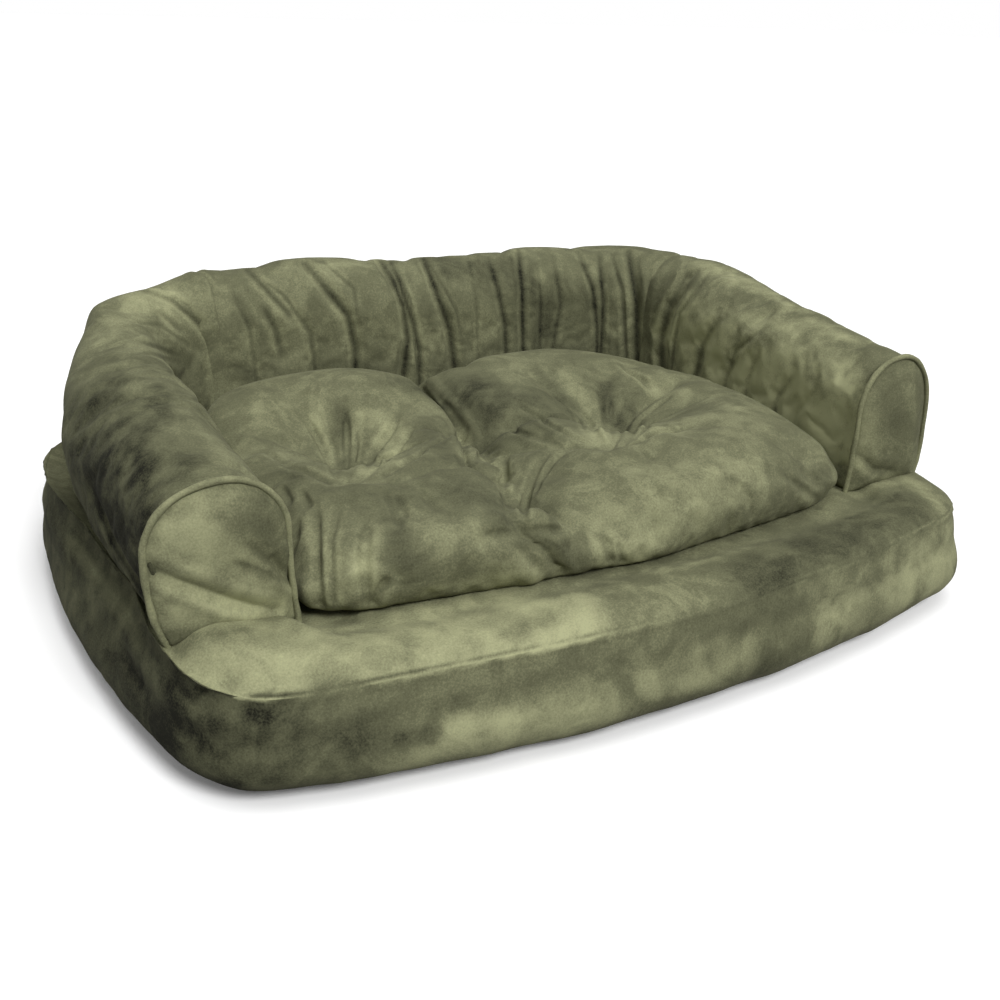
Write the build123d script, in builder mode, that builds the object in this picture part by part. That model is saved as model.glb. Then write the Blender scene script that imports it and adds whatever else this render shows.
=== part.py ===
from build123d import *
import os
from math import cos, sin, radians

# A sofa-shaped dog bed: a thick padded base, a roll-arm bolster on three sides and a
# loose tufted seat cushion. All lengths are in millimetres.
# +X is to the right seen from the front, +Y to the back, +Z up, and the origin is the
# centre of the footprint on the floor.

# Overall sizes of the padded base.
overall_width = 1016
overall_depth = 770
ledge_height = 126
seam_height = 106

# Shared making sizes: the cover cloth with its lining, the air round a soft filling, the
# room at a sewn edge, the clearance under the loose cushion and the overrun of a cut.
cloth = 2
soft_gap = 0.3
sewn_gap = 0.1
lift_gap = 0.5
cut_over = 10

# Base plan: a bowed front, gently bowed sides and a straight rear.
front_bow = 66
side_bow = 45
front_corner_radius = 100
rear_corner_radius = 160
# Base wall: how far each level stands in from the widest line.
foot_draw = 46
foot_rise = 10
foot_rise_draw = 19
bulge_height = 44
bulge_flat = 22
seam_draw = 10
shoulder_drop = 7
shoulder_draw = 23
ledge_draw = 48

# Bolster: how far the line along the middle of the roll stands in from the sides, the front
# and the rear of the base, its half width and its height above the base.
# The left seam between arm and back lies past the corner and the right one before it.
arm_set_in = 101
arm_set_back = 163
back_set_in = 84
arm_front_half = 56
arm_rear_half = 64
back_half = 66
roll_line_radius = 145
arm_front_height = 145
arm_rear_height = 196
back_height = 218
outer_tuck = 14
inner_flare = 7
facing_thick = 3
piping_radius = 3.5
piping_gap = 1.6
piping_foot = 3
left_seam_turn = 90
right_seam_turn = 18
arm_spans = 3
back_spans = 4
turn_step = 31
end_over = 1

# Seat cushion: the room between it and the bolster's sides, and its reach past the arm fronts.
cushion_room = 7
cushion_overhang = 66
cushion_seam_height = 148
cushion_shoulder = 36
shoulder_rise_share = 0.72
cushion_rise = 102
cushion_air = 1
floor_trim = 2
tuft_floor_height = 158
tuft_floor_radius = 5
tuft_rim_radius = 74
tuft_bend_share = 0.30
tuft_bend_rise_share = 0.72
under_dimple_radius = 22
under_dimple_depth = 9
tie_radius = 1.5
tie_head_radius = 4
tie_head_thick = 1.5
tie_hole_gap = 0.2
# Folds between and round the tufts: half widths at the bottom and at the rim, the rim's height
# over the crown, the roundness of the sides and the run out to the full height.
fold_foot = 3
fold_half = 34
fold_rim_rise = 6
fold_bulge_share = 0.15
fold_run_out = 30

# Zip in the rear of the base cover.
zip_length = 440
zip_height = bulge_height
zip_slot = 11
zip_sink = 1.2
tape_width = 10
tape_thick = 0.8
coil_gap = 1.4
coil_width = 1.8
coil_thick = 2
zip_gap = 0.3
stop_length = 3
slider_length = 12
slider_width = 9
slider_plate = 1.2
slider_neck_length = 3
slider_neck_width = 0.9
pull_axis_rise = 3.8
lug_radius = 1.8
lug_width = 2
pull_pin_radius = 0.8
pull_pin_gap = 0.05
pull_length = 26
pull_width = 7
pull_thick = 1.4
pull_window_gap = 0.4
pull_end_radius = 1.2
pull_tip_radius = 2.5

half_width = overall_width / 2
half_depth = overall_depth / 2
arm_line_x = half_width - arm_set_in
arm_front_y = -half_depth + arm_set_back
back_line_y = half_depth - back_set_in
cushion_half_width = arm_line_x - arm_rear_half - cushion_room
cushion_front = cushion_overhang - arm_front_y
cushion_back = back_line_y - back_half - inner_flare - cushion_room


# One level of the base: its plan outline at a height, drawn in by an inset.
def base_level(height, inset):
    corner_x = half_width - side_bow - inset
    front_y = -half_depth + front_bow + inset
    rear_y = half_depth - inset
    with BuildSketch(Plane.XY.offset(height)) as level:
        with BuildLine():
            front = ThreePointArc((-corner_x, front_y), (0, -half_depth + inset), (corner_x, front_y))
            right = ThreePointArc(front @ 1, (half_width - inset, 0), (corner_x, rear_y))
            rear = Line(right @ 1, (-corner_x, rear_y))
            ThreePointArc(rear @ 1, (-half_width + inset, 0), front @ 0)
        make_face()
        front_corners = level.vertices().group_by(Axis.Y)[0]
        fillet(front_corners, front_corner_radius - inset)
        rear_corners = level.vertices().group_by(Axis.Y)[-1]
        fillet(rear_corners, rear_corner_radius - inset)
    return level.sketch


# The wall of the base from the floor to the sewn edge, drawn in by an inset.
def base_wall(inset, mode=Mode.ADD):
    loft([base_level(0, foot_draw + inset),
          base_level(foot_rise, foot_rise_draw + inset),
          base_level(bulge_height - bulge_flat / 2, inset),
          base_level(bulge_height + bulge_flat / 2, inset),
          base_level(seam_height, seam_draw + inset)], mode=mode)


# The crowned top of the base above the sewn edge, drawn in and lowered by an inset.
def base_crown(inset, mode=Mode.ADD):
    loft([base_level(seam_height, seam_draw + inset),
          base_level(ledge_height - shoulder_drop - inset / 2, shoulder_draw + inset),
          base_level(ledge_height - inset, ledge_draw + inset)], mode=mode)


# Base cover: the flat bottom panel, the side band with its bulge and the top panel.
with BuildPart() as base_bottom_panel:
    extrude(base_level(0, foot_draw + cloth), amount=cloth)

with BuildPart() as base_side_band:
    base_wall(0)
    base_wall(cloth, mode=Mode.SUBTRACT)
    with BuildSketch(Plane.XZ.offset(-half_depth + cut_over)):
        with Locations((0, zip_height)):
            Rectangle(zip_length, zip_slot)
    extrude(amount=-2 * cut_over, mode=Mode.SUBTRACT)

with BuildPart() as base_top_panel:
    base_crown(0)
    base_crown(cloth, mode=Mode.SUBTRACT)

# Base filling: one pad that fills the cover, with a pocket behind the zip.
pocket_depth = cloth + zip_sink + coil_thick + slider_plate + 4 * zip_gap
with BuildPart() as base_filling:
    base_wall(cloth + soft_gap)
    base_crown(cloth + soft_gap)
    split(bisect_by=Plane.XY.offset(cloth + soft_gap), keep=Keep.TOP)
    with BuildSketch(Plane.XZ.offset(-half_depth - cut_over)):
        with Locations((0, zip_height)):
            Rectangle(zip_length + 2 * zip_gap, 2 * (tape_width + coil_width + zip_gap) + coil_gap)
    extrude(amount=pocket_depth + cut_over, mode=Mode.SUBTRACT)


# A plane across the bolster's line, its local x pointing inwards over the seat. The turn
# is 0 on an arm and 90 on the back, and the side is -1 on the left and 1 on the right.
def roll_plane(x, y, turn, side):
    inward = Vector(-side * cos(radians(turn)), -sin(radians(turn)), 0)
    return Plane(origin=(x, y, ledge_height + sewn_gap), x_dir=inward, z_dir=inward.cross(Vector(0, 0, 1)))


# The roll's outline without its floor line, from the outer foot over the top to the inner foot.
def roll_arch(half, height, inset, foot):
    radius = half - inset
    middle = height - half
    outer_foot = (-(half - outer_tuck - inset), foot)
    inner_foot = (half + inner_flare - inset, foot)
    slant = radius * cos(radians(45))
    outer_side = TangentArc((-radius, middle), outer_foot, tangent=(0, -1))
    ThreePointArc((-radius, middle), (-slant, middle + slant), (0, middle + radius))
    ThreePointArc((0, middle + radius), (slant, middle + slant), (radius, middle))
    inner_side = TangentArc((radius, middle), inner_foot, tangent=(0, -1))
    return outer_side @ 1, inner_side @ 1


def roll_section(plane, half, height, inset):
    with BuildSketch(plane) as section:
        with BuildLine():
            feet = roll_arch(half, height, inset, inset)
            Line(feet[0], feet[1])
        make_face()
    return section.sketch


# Stations along the roll: the place, the turn, the side, the half width and the height.
def corner_stations(side, first_turn, last_turn):
    steps = 1 + int(abs(last_turn - first_turn) // turn_step)
    stations = []
    for step in range(steps + 1):
        turn = first_turn + (last_turn - first_turn) * step / steps
        x = side * (arm_line_x - roll_line_radius + roll_line_radius * cos(radians(turn)))
        y = back_line_y - roll_line_radius + roll_line_radius * sin(radians(turn))
        half = arm_rear_half + (back_half - arm_rear_half) * turn / 90
        height = arm_rear_height + (back_height - arm_rear_height) * turn / 90
        stations.append((Vector(x, y), turn, side, half, height))
    return stations


def arm_stations(side, seam_turn):
    corner_y = back_line_y - roll_line_radius
    stations = []
    for span in range(arm_spans):
        grown = span / arm_spans
        place = Vector(side * arm_line_x, arm_front_y + (corner_y - arm_front_y) * grown)
        half = arm_front_half + (arm_rear_half - arm_front_half) * grown
        height = arm_front_height + (arm_rear_height - arm_front_height) * grown
        stations.append((place, 0, side, half, height))
    return stations + corner_stations(side, 0, seam_turn)


def back_stations(left_turn, right_turn):
    corner_x = arm_line_x - roll_line_radius
    stations = corner_stations(-1, left_turn, 90) if left_turn < 90 else corner_stations(-1, 0, 90)[-1:]
    for span in range(1, back_spans):
        place = Vector(corner_x * (2 * span / back_spans - 1), back_line_y)
        stations.append((place, 90, -1, back_half, back_height))
    return stations + corner_stations(1, 90, right_turn)


# A length of roll through its stations, running on past both ends by a reach.
def roll(stations, inset, reach, mode=Mode.ADD):
    places = [station[0] for station in stations]
    places[0] += (places[0] - places[1]).normalized() * reach
    places[-1] += (places[-1] - places[-2]).normalized() * reach
    sections = []
    for place, (start, turn, side, half, height) in zip(places, stations):
        sections.append(roll_section(roll_plane(place.X, place.Y, turn, side), half, height, inset))
    loft(sections, mode=mode)


left_arm_line = arm_stations(-1, left_seam_turn)
right_arm_line = arm_stations(1, right_seam_turn)
back_line = back_stations(left_seam_turn, right_seam_turn)

with BuildPart() as left_arm_cover:
    roll(left_arm_line, 0, 0)
    roll(left_arm_line, cloth, end_over, mode=Mode.SUBTRACT)

with BuildPart() as left_arm_filling:
    roll(left_arm_line, cloth + soft_gap, -soft_gap)

with BuildPart() as right_arm_cover:
    roll(right_arm_line, 0, 0)
    roll(right_arm_line, cloth, end_over, mode=Mode.SUBTRACT)

with BuildPart() as right_arm_filling:
    roll(right_arm_line, cloth + soft_gap, -soft_gap)

with BuildPart() as back_cover:
    roll(back_line, 0, 0)
    roll(back_line, cloth, end_over, mode=Mode.SUBTRACT)

with BuildPart() as back_filling:
    roll(back_line, cloth + soft_gap, -soft_gap)

# Front of the arm: the tongue-shaped facing and the piping sewn round its arch.
with BuildPart() as left_arm_facing:
    front_plane = roll_plane(-arm_line_x, arm_front_y, 0, -1)
    extrude(roll_section(front_plane, arm_front_half, arm_front_height, 0), amount=facing_thick)

with BuildPart() as left_arm_piping:
    with BuildLine() as piping_line:
        roll_arch(arm_front_half, arm_front_height, -piping_radius - piping_gap, piping_foot)
    piping_path = piping_line.wires()[0].moved(front_plane.offset(facing_thick / 2).location)
    with BuildSketch(Plane(origin=piping_path @ 0, z_dir=piping_path % 0)):
        Circle(piping_radius)
    sweep(path=piping_path)

with BuildPart() as right_arm_facing:
    mirror(left_arm_facing.part, about=Plane.YZ)

with BuildPart() as right_arm_piping:
    mirror(left_arm_piping.part, about=Plane.YZ)

# Seat cushion slices from left to right, each as shares: the place across the half width,
# the reach to the front and to the back, the crown's rise and the lift of the underside.
cushion_slice_shares = [
    (-1.00, 0.72, 0.42, 0.50, 0.14),
    (-0.955, 0.82, 0.68, 0.68, 0.05),
    (-0.86, 0.875, 0.88, 0.83, 0.01),
    (-0.70, 0.915, 0.97, 0.93, 0.00),
    (-0.50, 0.945, 1.00, 0.95, 0.00),
    (-0.30, 0.97, 1.00, 0.86, 0.00),
    (-0.14, 0.97, 0.985, 0.68, 0.00),
    (0.02, 1.00, 1.00, 0.86, 0.00),
    (0.24, 0.98, 1.00, 0.97, 0.00),
    (0.50, 0.945, 1.00, 0.98, 0.00),
    (0.70, 0.915, 0.97, 0.94, 0.00),
    (0.86, 0.875, 0.88, 0.83, 0.01),
    (0.955, 0.82, 0.68, 0.68, 0.05),
    (1.00, 0.72, 0.42, 0.50, 0.14),
]
cushion_floor = ledge_height + lift_gap
# Tufts: left, centre, front and right, as shares of the half width and of the depth
# in front of the middle line.
tuft_shares = [(-0.585, 0.02), (-0.125, 0.05), (-0.25, 0.72), (0.42, 0.14)]
tuft_places = [(cushion_half_width * across, -cushion_front * forward) for across, forward in tuft_shares]


def cushion_body(inset):
    slices = []
    for across, to_front, to_back, crown, lift in cushion_slice_shares:
        front_y = -cushion_front * to_front + inset
        back_y = cushion_back * to_back - inset
        crown_z = cushion_floor + cushion_rise * crown - inset
        floor_z = cushion_floor + cushion_rise * lift - floor_trim + inset
        foot = cushion_seam_height - floor_z
        rise_z = cushion_seam_height + (crown_z - cushion_seam_height) * shoulder_rise_share
        with BuildSketch(Plane.YZ.offset(across * (cushion_half_width - inset))) as cut:
            with BuildLine():
                front_up = TangentArc((front_y, cushion_seam_height), (front_y + cushion_shoulder, rise_z),
                                      tangent=(0, 1))
                back_up = TangentArc((back_y, cushion_seam_height), (back_y - cushion_shoulder, rise_z),
                                     tangent=(0, 1))
                ThreePointArc(front_up @ 1, ((front_y + back_y) / 2, crown_z), back_up @ 1)
                front_foot = TangentArc(front_up @ 0, (front_y + foot, floor_z), tangent=(0, -1))
                back_foot = TangentArc(back_up @ 0, (back_y - foot, floor_z), tangent=(0, -1))
                Line(front_foot @ 1, back_foot @ 1)
            make_face()
        slices.append(cut.sketch)
    with BuildPart() as body:
        loft(slices)
        split(bisect_by=Plane.XY.offset(cushion_floor + inset), keep=Keep.TOP)
    return body.part


# A pulled-in tuft: a trumpet-shaped hollow down to its stitch, and a small one underneath.
def tuft_hollow(place, inset):
    crown_top = cushion_floor + cushion_rise
    floor_z = tuft_floor_height - inset
    run = tuft_rim_radius - tuft_floor_radius
    rise = crown_top - tuft_floor_height
    under_z = cushion_floor + under_dimple_depth + inset
    with BuildSketch(Plane(origin=(place[0], place[1], 0), x_dir=(1, 0, 0), z_dir=(0, -1, 0))) as hollow:
        with BuildLine():
            curve = ThreePointArc(
                (tuft_floor_radius + inset, floor_z),
                (tuft_floor_radius + run * tuft_bend_share + inset, tuft_floor_height + rise * tuft_bend_rise_share),
                (tuft_rim_radius + inset, crown_top))
            Polyline(curve @ 1, (tuft_rim_radius + inset, crown_top + cut_over), (0, crown_top + cut_over),
                     (0, floor_z), curve @ 0)
        make_face()
        with BuildLine():
            under = ThreePointArc(
                (tie_head_radius + inset + soft_gap, under_z),
                ((tie_head_radius + under_dimple_radius) / 2 + inset, under_z - under_dimple_depth / 3),
                (under_dimple_radius + inset, cushion_floor))
            Polyline(under @ 1, (under_dimple_radius + inset, cushion_floor - cut_over),
                     (0, cushion_floor - cut_over), (0, under_z), under @ 0)
        make_face()
    revolve(hollow.sketch, axis=Axis((place[0], place[1], 0), (0, 0, 1)), mode=Mode.SUBTRACT)


# Folds in the crown as shares, from one end to the other: the place across the half width and in
# front of the middle line, the crown's height there and how much of the tuft's depth the fold has.
fold_shares = [
    ((-0.125, 0.05, 0.80, 0.87), (-0.05, -0.62, 0.82, 0.46)),
    ((-0.125, 0.05, 0.80, 0.87), (-0.25, 0.72, 0.80, 0.85)),
    ((-0.25, 0.72, 0.80, 0.85), (-0.235, 1.02, 0.62, 0.75)),
    ((-0.125, 0.05, 0.84, 0.82), (-0.585, 0.02, 0.97, 0.40)),
    ((-0.125, 0.05, 0.90, 0.82), (0.42, 0.14, 1.00, 0.40)),
    ((-0.585, 0.02, 0.95, 0.80), (-0.66, -0.56, 0.80, 0.0)),
    ((-0.585, 0.02, 0.95, 0.80), (-0.90, -0.10, 0.82, 0.0)),
    ((-0.585, 0.02, 0.95, 0.80), (-0.42, 0.62, 0.88, 0.0)),
    ((0.42, 0.14, 0.98, 0.80), (0.26, -0.46, 0.87, 0.0)),
    ((0.42, 0.14, 0.98, 0.80), (0.66, -0.36, 0.89, 0.0)),
    ((0.42, 0.14, 0.98, 0.80), (-0.02, 0.72, 0.80, 0.0)),
]


# A fold: a valley with rounded sides, lofted between its two ends.
def fold_valley(ends, inset):
    places = [Vector(cushion_half_width * end[0], -cushion_front * end[1]) for end in ends]
    along = (places[1] - places[0]).normalized()
    high = cushion_floor + cushion_rise + cut_over
    sections = []
    for place, end in zip(places, ends):
        rim_z = cushion_floor + cushion_rise * end[2] + fold_rim_rise - inset
        fall = (rim_z - tuft_floor_height) * end[3]
        bend = (fold_foot + fold_half) / 2 - fall * fold_bulge_share + inset
        bend_z = rim_z - fall / 2 + (fold_half - fold_foot) * fold_bulge_share
        with BuildSketch() as section:
            with BuildLine():
                right = ThreePointArc((fold_foot + inset, rim_z - fall), (bend, bend_z), (fold_half + inset, rim_z))
                bottom = Line(right @ 0, (-fold_foot - inset, rim_z - fall))
                left = ThreePointArc(bottom @ 1, (-bend, bend_z), (-fold_half - inset, rim_z))
                Polyline(left @ 1, (-fold_half - inset - fold_run_out, high),
                         (fold_half + inset + fold_run_out, high), right @ 1)
            make_face()
        across_fold = Plane(origin=place, x_dir=along.cross(Vector(0, 0, 1)), z_dir=-along)
        sections.append(section.sketch.moved(across_fold.location))
    loft(sections, mode=Mode.SUBTRACT)


def cushion_form(inset):
    with BuildPart() as form:
        add(cushion_body(inset))
        for tuft_place in tuft_places:
            tuft_hollow(tuft_place, inset)
        for ends in fold_shares:
            fold_valley(ends, inset)
    return form.part


tie_hole_radius = tie_radius + tie_hole_gap
with BuildPart() as cushion_skin:
    add(cushion_form(0))
    add(cushion_form(cloth), mode=Mode.SUBTRACT)
    with BuildSketch(Plane.XY.offset(cushion_floor)):
        with Locations(*tuft_places):
            Circle(tie_hole_radius)
    extrude(amount=tuft_floor_height, mode=Mode.SUBTRACT)

with BuildPart() as cushion_top_cover:
    add(cushion_skin.part)
    split(bisect_by=Plane.XY.offset(cushion_seam_height), keep=Keep.TOP)

with BuildPart() as cushion_bottom_cover:
    add(cushion_skin.part)
    split(bisect_by=Plane.XY.offset(cushion_seam_height), keep=Keep.BOTTOM)

with BuildPart() as cushion_filling:
    add(cushion_form(cloth + cushion_air))
    with BuildSketch(Plane.XY.offset(cushion_floor)):
        with Locations(*tuft_places):
            Circle(tie_hole_radius)
    extrude(amount=tuft_floor_height, mode=Mode.SUBTRACT)


# Tuft tie: twine through the cushion with a stitched bar at each end.
def tuft_tie(place):
    under_z = cushion_floor + under_dimple_depth
    with BuildSketch(Plane.XY.offset(under_z)) as twine:
        with Locations(place):
            Circle(tie_radius)
    extrude(twine.sketch, amount=tuft_floor_height - under_z)
    with BuildSketch(Plane.XY.offset(under_z - tie_head_thick), Plane.XY.offset(tuft_floor_height)) as bars:
        with Locations(place):
            Circle(tie_head_radius)
    extrude(bars.sketch, amount=tie_head_thick)


with BuildPart() as left_tuft_tie:
    tuft_tie(tuft_places[0])

with BuildPart() as centre_tuft_tie:
    tuft_tie(tuft_places[1])

with BuildPart() as front_tuft_tie:
    tuft_tie(tuft_places[2])

with BuildPart() as right_tuft_tie:
    tuft_tie(tuft_places[3])

# Zip of the base cover. The tapes lie behind the band, with the two rows of the coil
# along their facing edges, and the slider's neck runs between the rows.
tape_face_y = half_depth - cloth - zip_sink
tape_inner_z = coil_gap / 2 + coil_width
with BuildPart() as base_zip_tape:
    with BuildSketch(Plane.XZ.offset(-tape_face_y)):
        with Locations((0, zip_height + tape_inner_z + tape_width / 2),
                       (0, zip_height - tape_inner_z - tape_width / 2)):
            Rectangle(zip_length, tape_width)
    extrude(amount=tape_thick)

coil_face_y = tape_face_y + (coil_thick - tape_thick) / 2
coil_length = zip_length - 2 * stop_length
with BuildPart() as base_zip_coil:
    with BuildSketch(Plane.XZ.offset(-coil_face_y)):
        with Locations((0, zip_height + (coil_gap + coil_width) / 2), (0, zip_height - (coil_gap + coil_width) / 2)):
            Rectangle(coil_length, coil_width)
    extrude(amount=coil_thick)

with BuildPart() as base_zip_stops:
    with BuildSketch(Plane.XZ.offset(-coil_face_y)):
        with Locations((zip_length / 2 - stop_length / 2, zip_height), (stop_length / 2 - zip_length / 2, zip_height)):
            Rectangle(stop_length, coil_gap + 2 * coil_width)
    extrude(amount=coil_thick)

# Slider, drawn at the closed end: a front and a rear plate joined by the neck, and a lug
# that carries the pull.
slider_x = (coil_length - slider_length) / 2 - zip_gap
plate_face_y = coil_face_y + zip_gap + slider_plate
rear_plate_face_y = coil_face_y - coil_thick - zip_gap
pull_axis_y = plate_face_y + pull_axis_rise
with BuildPart() as base_zip_slider:
    with BuildSketch(Plane.XZ.offset(-plate_face_y)):
        with Locations((slider_x, zip_height)):
            RectangleRounded(slider_length, slider_width, slider_width / 3)
    extrude(amount=slider_plate)
    with BuildSketch(Plane.XZ.offset(-rear_plate_face_y)):
        with Locations((slider_x, zip_height)):
            RectangleRounded(slider_length, slider_width, slider_width / 3)
    extrude(amount=slider_plate)
    with BuildSketch(Plane.XZ.offset(-plate_face_y + slider_plate / 2)):
        with Locations((slider_x - slider_length / 2 + slider_neck_length, zip_height)):
            Rectangle(slider_neck_length, slider_neck_width)
    extrude(amount=plate_face_y - rear_plate_face_y)
    with BuildSketch(Plane.XY.offset(zip_height - lug_width / 2)):
        with Locations((slider_x, pull_axis_y)):
            Circle(lug_radius)
        with Locations((slider_x, plate_face_y - slider_plate / 2)):
            Rectangle(2 * lug_radius, pull_axis_rise + slider_plate / 2, align=(Align.CENTER, Align.MIN))
        with Locations((slider_x, pull_axis_y)):
            Circle(pull_pin_radius + pull_pin_gap, mode=Mode.SUBTRACT)
    extrude(amount=lug_width)

# Pull: a flat tab with a window that leaves a round pin across its end.
window_half = lug_width / 2 + pull_window_gap
window_reach = lug_radius + pull_window_gap
with BuildPart() as base_zip_pull:
    with BuildSketch(Plane.XZ.offset(-pull_axis_y - pull_thick / 2)) as tab:
        with Locations((slider_x - pull_end_radius, zip_height)):
            Rectangle(pull_length, pull_width, align=(Align.MIN, Align.CENTER))
        fillet(tab.vertices().group_by(Axis.X)[-1], pull_tip_radius)
        with Locations((slider_x, zip_height)):
            Rectangle(window_reach, 2 * window_half, align=(Align.MIN, Align.CENTER), mode=Mode.SUBTRACT)
        with Locations((slider_x - pull_end_radius - pull_window_gap, zip_height)):
            Rectangle(pull_end_radius + 2 * pull_window_gap, 2 * window_half, align=(Align.MIN, Align.CENTER),
                      mode=Mode.SUBTRACT)
    extrude(amount=pull_thick)
    with BuildSketch(Plane.XY.offset(zip_height - window_half - pull_window_gap)):
        with Locations((slider_x, pull_axis_y)):
            Circle(pull_pin_radius)
    extrude(amount=2 * (window_half + pull_window_gap))

# Each piece by the name of its node.
pieces = {
    "base_bottom_panel": base_bottom_panel,
    "base_side_band": base_side_band,
    "base_top_panel": base_top_panel,
    "base_filling": base_filling,
    "left_arm_cover": left_arm_cover,
    "left_arm_filling": left_arm_filling,
    "left_arm_facing": left_arm_facing,
    "left_arm_piping": left_arm_piping,
    "right_arm_cover": right_arm_cover,
    "right_arm_filling": right_arm_filling,
    "right_arm_facing": right_arm_facing,
    "right_arm_piping": right_arm_piping,
    "back_cover": back_cover,
    "back_filling": back_filling,
    "cushion_top_cover": cushion_top_cover,
    "cushion_bottom_cover": cushion_bottom_cover,
    "cushion_filling": cushion_filling,
    "left_tuft_tie": left_tuft_tie,
    "centre_tuft_tie": centre_tuft_tie,
    "front_tuft_tie": front_tuft_tie,
    "right_tuft_tie": right_tuft_tie,
    "base_zip_tape": base_zip_tape,
    "base_zip_coil": base_zip_coil,
    "base_zip_stops": base_zip_stops,
    "base_zip_slider": base_zip_slider,
    "base_zip_pull": base_zip_pull,
}
os.makedirs("parts", exist_ok=True)
for name, piece in pieces.items():
    piece.part.label = name
    export_step(piece.part, "parts/" + name + ".step")
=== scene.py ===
import bpy
import math
import numpy as np
from mathutils import Matrix, Vector, noise
from mathutils.bvhtree import BVHTree


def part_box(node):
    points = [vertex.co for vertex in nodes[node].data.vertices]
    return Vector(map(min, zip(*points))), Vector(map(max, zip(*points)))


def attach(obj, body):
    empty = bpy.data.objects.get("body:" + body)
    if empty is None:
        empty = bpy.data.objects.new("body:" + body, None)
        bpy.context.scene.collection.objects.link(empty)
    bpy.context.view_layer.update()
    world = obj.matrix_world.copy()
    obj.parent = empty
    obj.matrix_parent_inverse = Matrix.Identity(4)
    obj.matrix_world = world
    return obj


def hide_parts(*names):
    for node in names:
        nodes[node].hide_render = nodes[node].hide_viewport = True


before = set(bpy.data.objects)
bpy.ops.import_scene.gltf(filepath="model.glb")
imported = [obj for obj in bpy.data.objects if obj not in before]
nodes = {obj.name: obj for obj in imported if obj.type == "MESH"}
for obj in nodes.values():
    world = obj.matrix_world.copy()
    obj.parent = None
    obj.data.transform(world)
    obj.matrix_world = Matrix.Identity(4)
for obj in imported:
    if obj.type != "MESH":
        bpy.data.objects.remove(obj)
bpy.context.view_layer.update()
bpy.ops.object.select_all(action="DESELECT")

# the photograph's camera: degrees, metres, and its lens in pixels of the 1000 pixel frame
viewSet = {"azimuth": -30.7, "elevation": 20.7, "roll": -1.8, "distance": 1.4451, "aim": (0, 0, 0.15),
           "focalPixels": 1212.3, "centrePixel": (499.1, 457.3), "framePixels": 1000, "sensor": 36,
           "farthest": 50}


def viewAxes():
    turn, tilt, roll = (math.radians(viewSet[k]) for k in ("azimuth", "elevation", "roll"))
    back = Vector((math.sin(turn) * math.cos(tilt), -math.cos(turn) * math.cos(tilt), math.sin(tilt)))
    right = (-back).cross(Vector((0, 0, 1))).normalized()
    up = right.cross(-back)
    return (math.cos(roll) * right - math.sin(roll) * up,
            math.sin(roll) * right + math.cos(roll) * up, back)


viewRight, viewUp, viewBack = viewAxes()
viewPlace = Vector(viewSet["aim"]) + viewBack * viewSet["distance"]


def addObject(name, data):
    added = bpy.data.objects.new(name, data)
    bpy.context.collection.objects.link(added)
    return added


def makeCamera():
    camera = bpy.data.cameras.new("camera")
    holder = addObject("camera", camera)
    turned = Matrix((viewRight, viewUp, viewBack)).transposed().to_4x4()
    holder.matrix_world = Matrix.Translation(viewPlace) @ turned
    size = viewSet["framePixels"]
    camera.sensor_width = viewSet["sensor"]
    camera.lens = viewSet["focalPixels"] * viewSet["sensor"] / size
    camera.shift_x = 0.5 - viewSet["centrePixel"][0] / size
    camera.shift_y = viewSet["centrePixel"][1] / size - 0.5
    camera.clip_end = viewSet["farthest"]
    bpy.context.scene.camera = holder
    print("camera placed")


# mesh helpers
def points(piece):
    flat = np.empty(len(piece.data.vertices) * 3)
    piece.data.vertices.foreach_get("co", flat)
    return flat.reshape(-1, 3)


def normals(piece):
    piece.data.update()
    flat = np.empty(len(piece.data.vertices) * 3)
    piece.data.vertex_normals.foreach_get("vector", flat)
    return flat.reshape(-1, 3)


def setPoints(piece, places):
    piece.data.vertices.foreach_set("co", places.ravel())
    piece.data.update()


def treeOf(piece):
    mesh = piece.data
    return BVHTree.FromPolygons([v.co for v in mesh.vertices], [p.vertices for p in mesh.polygons])


# an even field of soft waves through the places, another one for each seed
def smoothField(places, scale, seed, depth=2):
    shift = Vector((seed * 3.7, seed * 1.3, seed * 2.1))
    return np.array([noise.fractal(Vector(p) * scale + shift, 0.6, 2.0, depth) for p in places])


def onlySelect(piece):
    bpy.ops.object.select_all(action="DESELECT")
    piece.select_set(True)
    bpy.context.view_layer.objects.active = piece


def shadeSmooth(piece):
    onlySelect(piece)
    bpy.ops.object.shade_smooth()


def applyAll(piece):
    onlySelect(piece)
    for modifier in list(piece.modifiers):
        bpy.ops.object.modifier_apply(modifier=modifier.name)


# one piece from copies of the nodes, with the points that coincide merged
def copyNodes(name, *nodeNames, merge=0.00002):
    copies = [addObject(name, nodes[nodeName].data.copy()) for nodeName in nodeNames]
    bpy.ops.object.select_all(action="DESELECT")
    for piece in copies:
        piece.data.materials.clear()
        piece.select_set(True)
    bpy.context.view_layer.objects.active = copies[0]
    if len(copies) > 1:
        bpy.ops.object.join()
    joined = bpy.context.view_layer.objects.active
    bpy.ops.object.mode_set(mode="EDIT")
    bpy.ops.mesh.select_all(action="SELECT")
    bpy.ops.mesh.remove_doubles(threshold=merge)
    bpy.ops.mesh.customdata_custom_splitnormals_clear()
    bpy.ops.object.mode_set(mode="OBJECT")
    return joined


def remesh(piece, voxel):
    modifier = piece.modifiers.new("even", "REMESH")
    modifier.mode = "VOXEL"
    modifier.voxel_size = voxel
    modifier.use_smooth_shade = True
    applyAll(piece)


def grow(piece, amount):
    setPoints(piece, points(piece) + normals(piece) * amount)


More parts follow.
